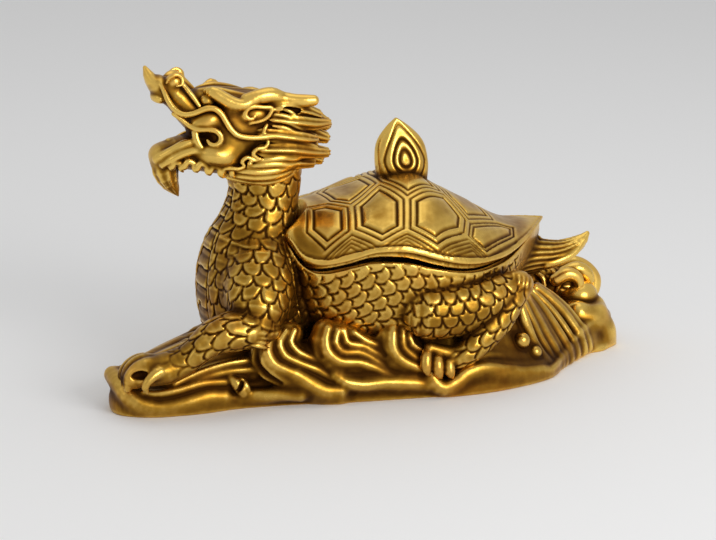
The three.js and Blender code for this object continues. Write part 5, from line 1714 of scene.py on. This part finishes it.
class FinishSettings(bpy.types.PropertyGroup):
    polished_colour: bpy.props.FloatVectorProperty(
        name="Polished", description="Brass on worn ridges",
        default=(0.86, 0.56, 0.125), min=0, max=1, subtype="COLOR")
    face_colour: bpy.props.FloatVectorProperty(
        name="Faces", description="Brass on open surfaces",
        default=(0.37, 0.188, 0.02), min=0, max=1, subtype="COLOR")
    # Aged brass beside the recesses, darkened further where painted shade is put
    aged_and_shaded_colour: bpy.props.FloatVectorProperty(
        name="Aged", description="Darkened brass beside the recesses",
        default=(0.15, 0.064, 0.007), min=0, max=1, subtype="COLOR")
    # The recesses' colour: dark oxide and painted shade
    recess_colour: bpy.props.FloatVectorProperty(
        name="Recesses", description="The dark patina in the recesses",
        default=(0.055, 0.02, 0.003), min=0, max=1, subtype="COLOR")
    stain_colour: bpy.props.FloatVectorProperty(
        name="Stains", description="What the copper-red stains multiply the brass by",
        default=(1, 0.72, 0.5), min=0, max=1, subtype="COLOR")
    # Painted shade: how much darker the brass is made at the base
    low_painted_shade: bpy.props.FloatProperty(
        name="Grime low down", description="How much darker the patina is at the base",
        default=0.33, min=0, max=1, subtype="FACTOR")
    # Painted shade: how much darker the brass is made on the body and head
    high_painted_shade: bpy.props.FloatProperty(
        name="Grime high up", description="How much darker the patina is on the body and head",
        default=0.13, min=0, max=1, subtype="FACTOR")
    # Painted light: how much brighter the rock and the foot behind are made
    rock_painted_light: bpy.props.FloatProperty(
        name="Wear behind", description="How much brighter the rock and the foot behind are",
        default=0.26, min=0, max=1, subtype="FACTOR")
    roughness: bpy.props.FloatProperty(
        name="Roughness", description="How dull the polished brass is",
        default=0.2, min=0, max=1, subtype="FACTOR")


class StageSettings(bpy.types.PropertyGroup):
    turn: bpy.props.FloatProperty(
        name="Camera turn", description="How far the camera stands round from the figure's right side",
        default=math.radians(20), subtype="ANGLE")
    tilt: bpy.props.FloatProperty(
        name="Camera tilt", description="How steeply the camera looks down",
        default=math.radians(14), subtype="ANGLE")
    distance: bpy.props.FloatProperty(
        name="Camera distance", description="How far the camera stands from what it looks at",
        default=0.65, min=0.1, unit="LENGTH")
    floor_colour: bpy.props.FloatVectorProperty(
        name="Floor", description="The colour of the floor",
        default=(0.9, 0.9, 0.9), min=0, max=1, subtype="COLOR")
    key_power: bpy.props.FloatProperty(
        name="Key light", description="The power of the large soft light by the camera",
        default=4.4, min=0, unit="POWER")
    top_power: bpy.props.FloatProperty(
        name="Top light", description="The power of the soft light overhead",
        default=1.2, min=0, unit="POWER")
    fill_power: bpy.props.FloatProperty(
        name="Fill light", description="The power of the soft light from the left",
        default=0.3, min=0, unit="POWER")
    surroundings: bpy.props.FloatProperty(
        name="Surroundings", description="How bright the studio around is",
        default=0.58, min=0)


def sculpt_settings():
    return bpy.context.scene.turtle_sculpt


# The blocks of clay, each from its low corner to its high one in drawn millimetres
BASE_BLOCK = ((-97, -43, -1.5), (98, 42, 34))
FIGURE_BLOCK = ((-93, -43, 2), (97, 42, 87))
HEAD_BLOCK = ((-80, -18, 62), (-12, 18, 111))
SHELL_BLOCK = ((-38, -41, 38), (67, 41, 90))
# The chest and the body are one surface in two meshes, that meet here
SEAM = -33.5
SEAM_OVERLAP = 0.5


def carve_bowl(clay):
    clay.cut(LidSpace(), 0.3)
    clay.cut(BowlHollow(), 0.5)


class Underside:
    """The space below the figure's flat underside."""

    def box(self):
        return box_of((-100, -50, -4), (100, 50, 1))

    def distance(self, x, y, z):
        return z + 0 * (x + y)


class TURTLE_OT_base(bpy.types.Operator):
    """Sculpt the base of waves and rock"""

    bl_idname = "turtle.base"
    bl_label = "Base of waves"

    def execute(self, context):
        settings = sculpt_settings()
        clay = Clay(*BASE_BLOCK, settings.base_grain / MM)
        clay.add(Ground(), 0.1)
        adds, cuts = base_shapes()
        clay.add_all(adds)
        clay.cut_all(cuts)
        clay.cut(Underside(), 0.1)
        carve_bowl(clay)
        cast("wave_base", clay, settings.triangles, brass_for("Turtle brass"), "body")
        return {"FINISHED"}


class TURTLE_OT_figure(bpy.types.Operator):
    """Sculpt the scaly body, neck, legs and tail round the incense bowl"""

    bl_idname = "turtle.figure"
    bl_label = "Body and limbs"

    def execute(self, context):
        settings = sculpt_settings()
        clay = Clay(*FIGURE_BLOCK, settings.figure_grain / MM)
        clay.add(Trunk(RIM_INSET, TRUNK_RISE, TRUNK_FLOOR, hull_relief(settings)), 0.1)
        clay.add(Limb(NECK, front=True, relief=neck_relief(settings)), 2.5)
        hand, hand_hollows, thumb = right_paw()
        clay.add_all(right_foreleg(settings) + hand + elbow_tuft() + left_foreleg(settings))
        clay.add_all(right_hind_leg(settings) + left_hind_leg(settings) + tail())
        clay.cut_all(hand_hollows)
        clay.add_all(thumb + hock_comb())
        carve_bowl(clay)
        finish = brass_for("Turtle brass")
        cast("scaly_chest", clay, settings.triangles, finish, "body", high_x=SEAM + SEAM_OVERLAP)
        cast("scaly_body", clay, settings.triangles, finish, "body", low_x=SEAM)
        return {"FINISHED"}


def left_side_lag(x, y):
    """How far the left half of the muzzle is set back from the right half."""
    return SIDE_LAG * ramp(1, 9, y) * ramp(-36, -56, x)


class TURTLE_OT_head(bpy.types.Operator):
    """Sculpt the horned head with its open jaws and mane"""

    bl_idname = "turtle.head"
    bl_label = "Head and mane"

    def execute(self, context):
        settings = sculpt_settings()
        clay = Clay(*HEAD_BLOCK, settings.head_grain / MM, left_side_lag)
        solid_jaws, tongue = jaws()
        clay.add_all(skull() + solid_jaws)
        clay.cut_all(mouth())
        clay.add_all([tongue] + crown())
        for side in BOTH_SIDES:
            clay.add_all(mane(side) + throat_hair(side))
            clay.cut_all(face_hollows(side))
            clay.add_all(face(side) + jaw_barbs(side) + frill(side) + temple_strands(side))
        cast("dragon_head", clay, settings.triangles, brass_for("Turtle brass"), "body")
        return {"FINISHED"}


class TURTLE_OT_shell(bpy.types.Operator):
    """Sculpt the shell that lifts off as the lid, with its flame"""

    bl_idname = "turtle.shell"
    bl_label = "Shell lid"

    def execute(self, context):
        settings = sculpt_settings()
        clay = Clay(*SHELL_BLOCK, settings.shell_grain / MM)
        shell_front = Ball((-27.5, 0, 59), (4, 3.4, 2.6))
        clay.add(Shell(settings.plate_depth), 0.1)
        clay.add_all([(Flame(), 1), (shell_front, 1)])
        clay.cut(NeckColumn(LID_CLEARANCE, *SHELL_BLOCK), 0.3)
        clay.add(Flange(), 0.1)
        clay.cut(ShellInside(), 0.4)
        cast("carved_shell", clay, settings.triangles, brass_for("Shell brass"), "shell_lid")
        return {"FINISHED"}


# The camera: millimetres of its sensor and lens, and the point in drawn millimetres that it looks at
SENSOR_WIDTH = 36
FOCAL_LENGTH = 97.06
LOOK_AT = (-7, -5.5, 37.5)
# Where each light stands from that point, in metres, and how wide it is
KEY_PLACE = (0.3, -0.85, 0.32)
KEY_SIZE = 0.5
TOP_PLACE = (0.15, 0.1, 1)
TOP_SIZE = 0.9
FILL_PLACE = (-1, -0.35, 0.4)
FILL_SIZE = 0.5
FLOOR_SIZE = 8
FLOOR_ROUGHNESS = 0.9


def area_light(name, power, size, towards, place):
    """A soft round light at a place, that shines towards a point."""
    data = bpy.data.lights.new(name, "AREA")
    data.shape = "DISK"
    data.size = size
    data.energy = power
    lamp = bpy.data.objects.new(name, data)
    lamp.location = place
    lamp.rotation_euler = (Vector(towards) - Vector(place)).to_track_quat("-Z", "Y").to_euler()
    bpy.context.scene.collection.objects.link(lamp)


class TURTLE_OT_stage(bpy.types.Operator):
    """Set up the pale floor, the soft studio light and the camera"""

    bl_idname = "turtle.stage"
    bl_label = "Stage"

    def execute(self, context):
        stage = context.scene.turtle_stage
        target = Vector(set_in_frame(np.array(LOOK_AT)))
        level = math.cos(stage.tilt)
        gaze = Vector((math.sin(stage.turn) * level, math.cos(stage.turn) * level, -math.sin(stage.tilt)))
        data = bpy.data.cameras.new("Camera")
        data.sensor_width = SENSOR_WIDTH
        data.lens = FOCAL_LENGTH
        camera = bpy.data.objects.new("Camera", data)
        camera.location = target - gaze * stage.distance
        camera.rotation_euler = gaze.to_track_quat("-Z", "Y").to_euler()
        context.scene.collection.objects.link(camera)
        context.scene.camera = camera

        bpy.ops.mesh.primitive_plane_add(size=FLOOR_SIZE)
        floor = context.active_object
        floor.name = "floor"
        paint = bpy.data.materials.new("Floor")
        paint.use_nodes = True
        shader = paint.node_tree.nodes["Principled BSDF"]
        shader.inputs["Base Color"].default_value = (*stage.floor_colour, 1)
        shader.inputs["Roughness"].default_value = FLOOR_ROUGHNESS
        floor.data.materials.append(paint)

        area_light("Key", stage.key_power, KEY_SIZE, target, target + Vector(KEY_PLACE))
        area_light("Top", stage.top_power, TOP_SIZE, target, target + Vector(TOP_PLACE))
        area_light("Fill", stage.fill_power, FILL_SIZE, target, target + Vector(FILL_PLACE))
        world = bpy.data.worlds.new("Studio")
        world.use_nodes = True
        background = world.node_tree.nodes["Background"]
        background.inputs["Color"].default_value = (1, 1, 1, 1)
        background.inputs["Strength"].default_value = stage.surroundings
        context.scene.world = world
        context.scene.view_settings.view_transform = "Standard"
        return {"FINISHED"}


class TURTLE_PT_panel(bpy.types.Panel):
    bl_idname = "TURTLE_PT_panel"
    bl_label = "Dragon turtle"
    bl_space_type = "VIEW_3D"
    bl_region_type = "UI"
    bl_category = "Dragon Turtle"

    def draw(self, context):
        scene = context.scene
        for operator in OPERATORS:
            self.layout.operator(operator.bl_idname)
        for settings in (scene.turtle_sculpt, scene.turtle_finish, scene.turtle_stage):
            box = self.layout.box()
            for name in settings.__annotations__:
                box.prop(settings, name)


OPERATORS = (TURTLE_OT_base, TURTLE_OT_figure, TURTLE_OT_head, TURTLE_OT_shell, TURTLE_OT_stage)
CLASSES = (SculptSettings, FinishSettings, StageSettings, *OPERATORS, TURTLE_PT_panel)


def register():
    for each in CLASSES:
        bpy.utils.register_class(each)
    bpy.types.Scene.turtle_sculpt = bpy.props.PointerProperty(type=SculptSettings)
    bpy.types.Scene.turtle_finish = bpy.props.PointerProperty(type=FinishSettings)
    bpy.types.Scene.turtle_stage = bpy.props.PointerProperty(type=StageSettings)


def unregister():
    del bpy.types.Scene.turtle_stage
    del bpy.types.Scene.turtle_finish
    del bpy.types.Scene.turtle_sculpt
    for each in reversed(CLASSES):
        bpy.utils.unregister_class(each)


def main():
    register()
    bpy.ops.turtle.base()
    bpy.ops.turtle.figure()
    bpy.ops.turtle.head()
    bpy.ops.turtle.shell()
    bpy.ops.turtle.stage()


if __name__ == "__main__":
    main()
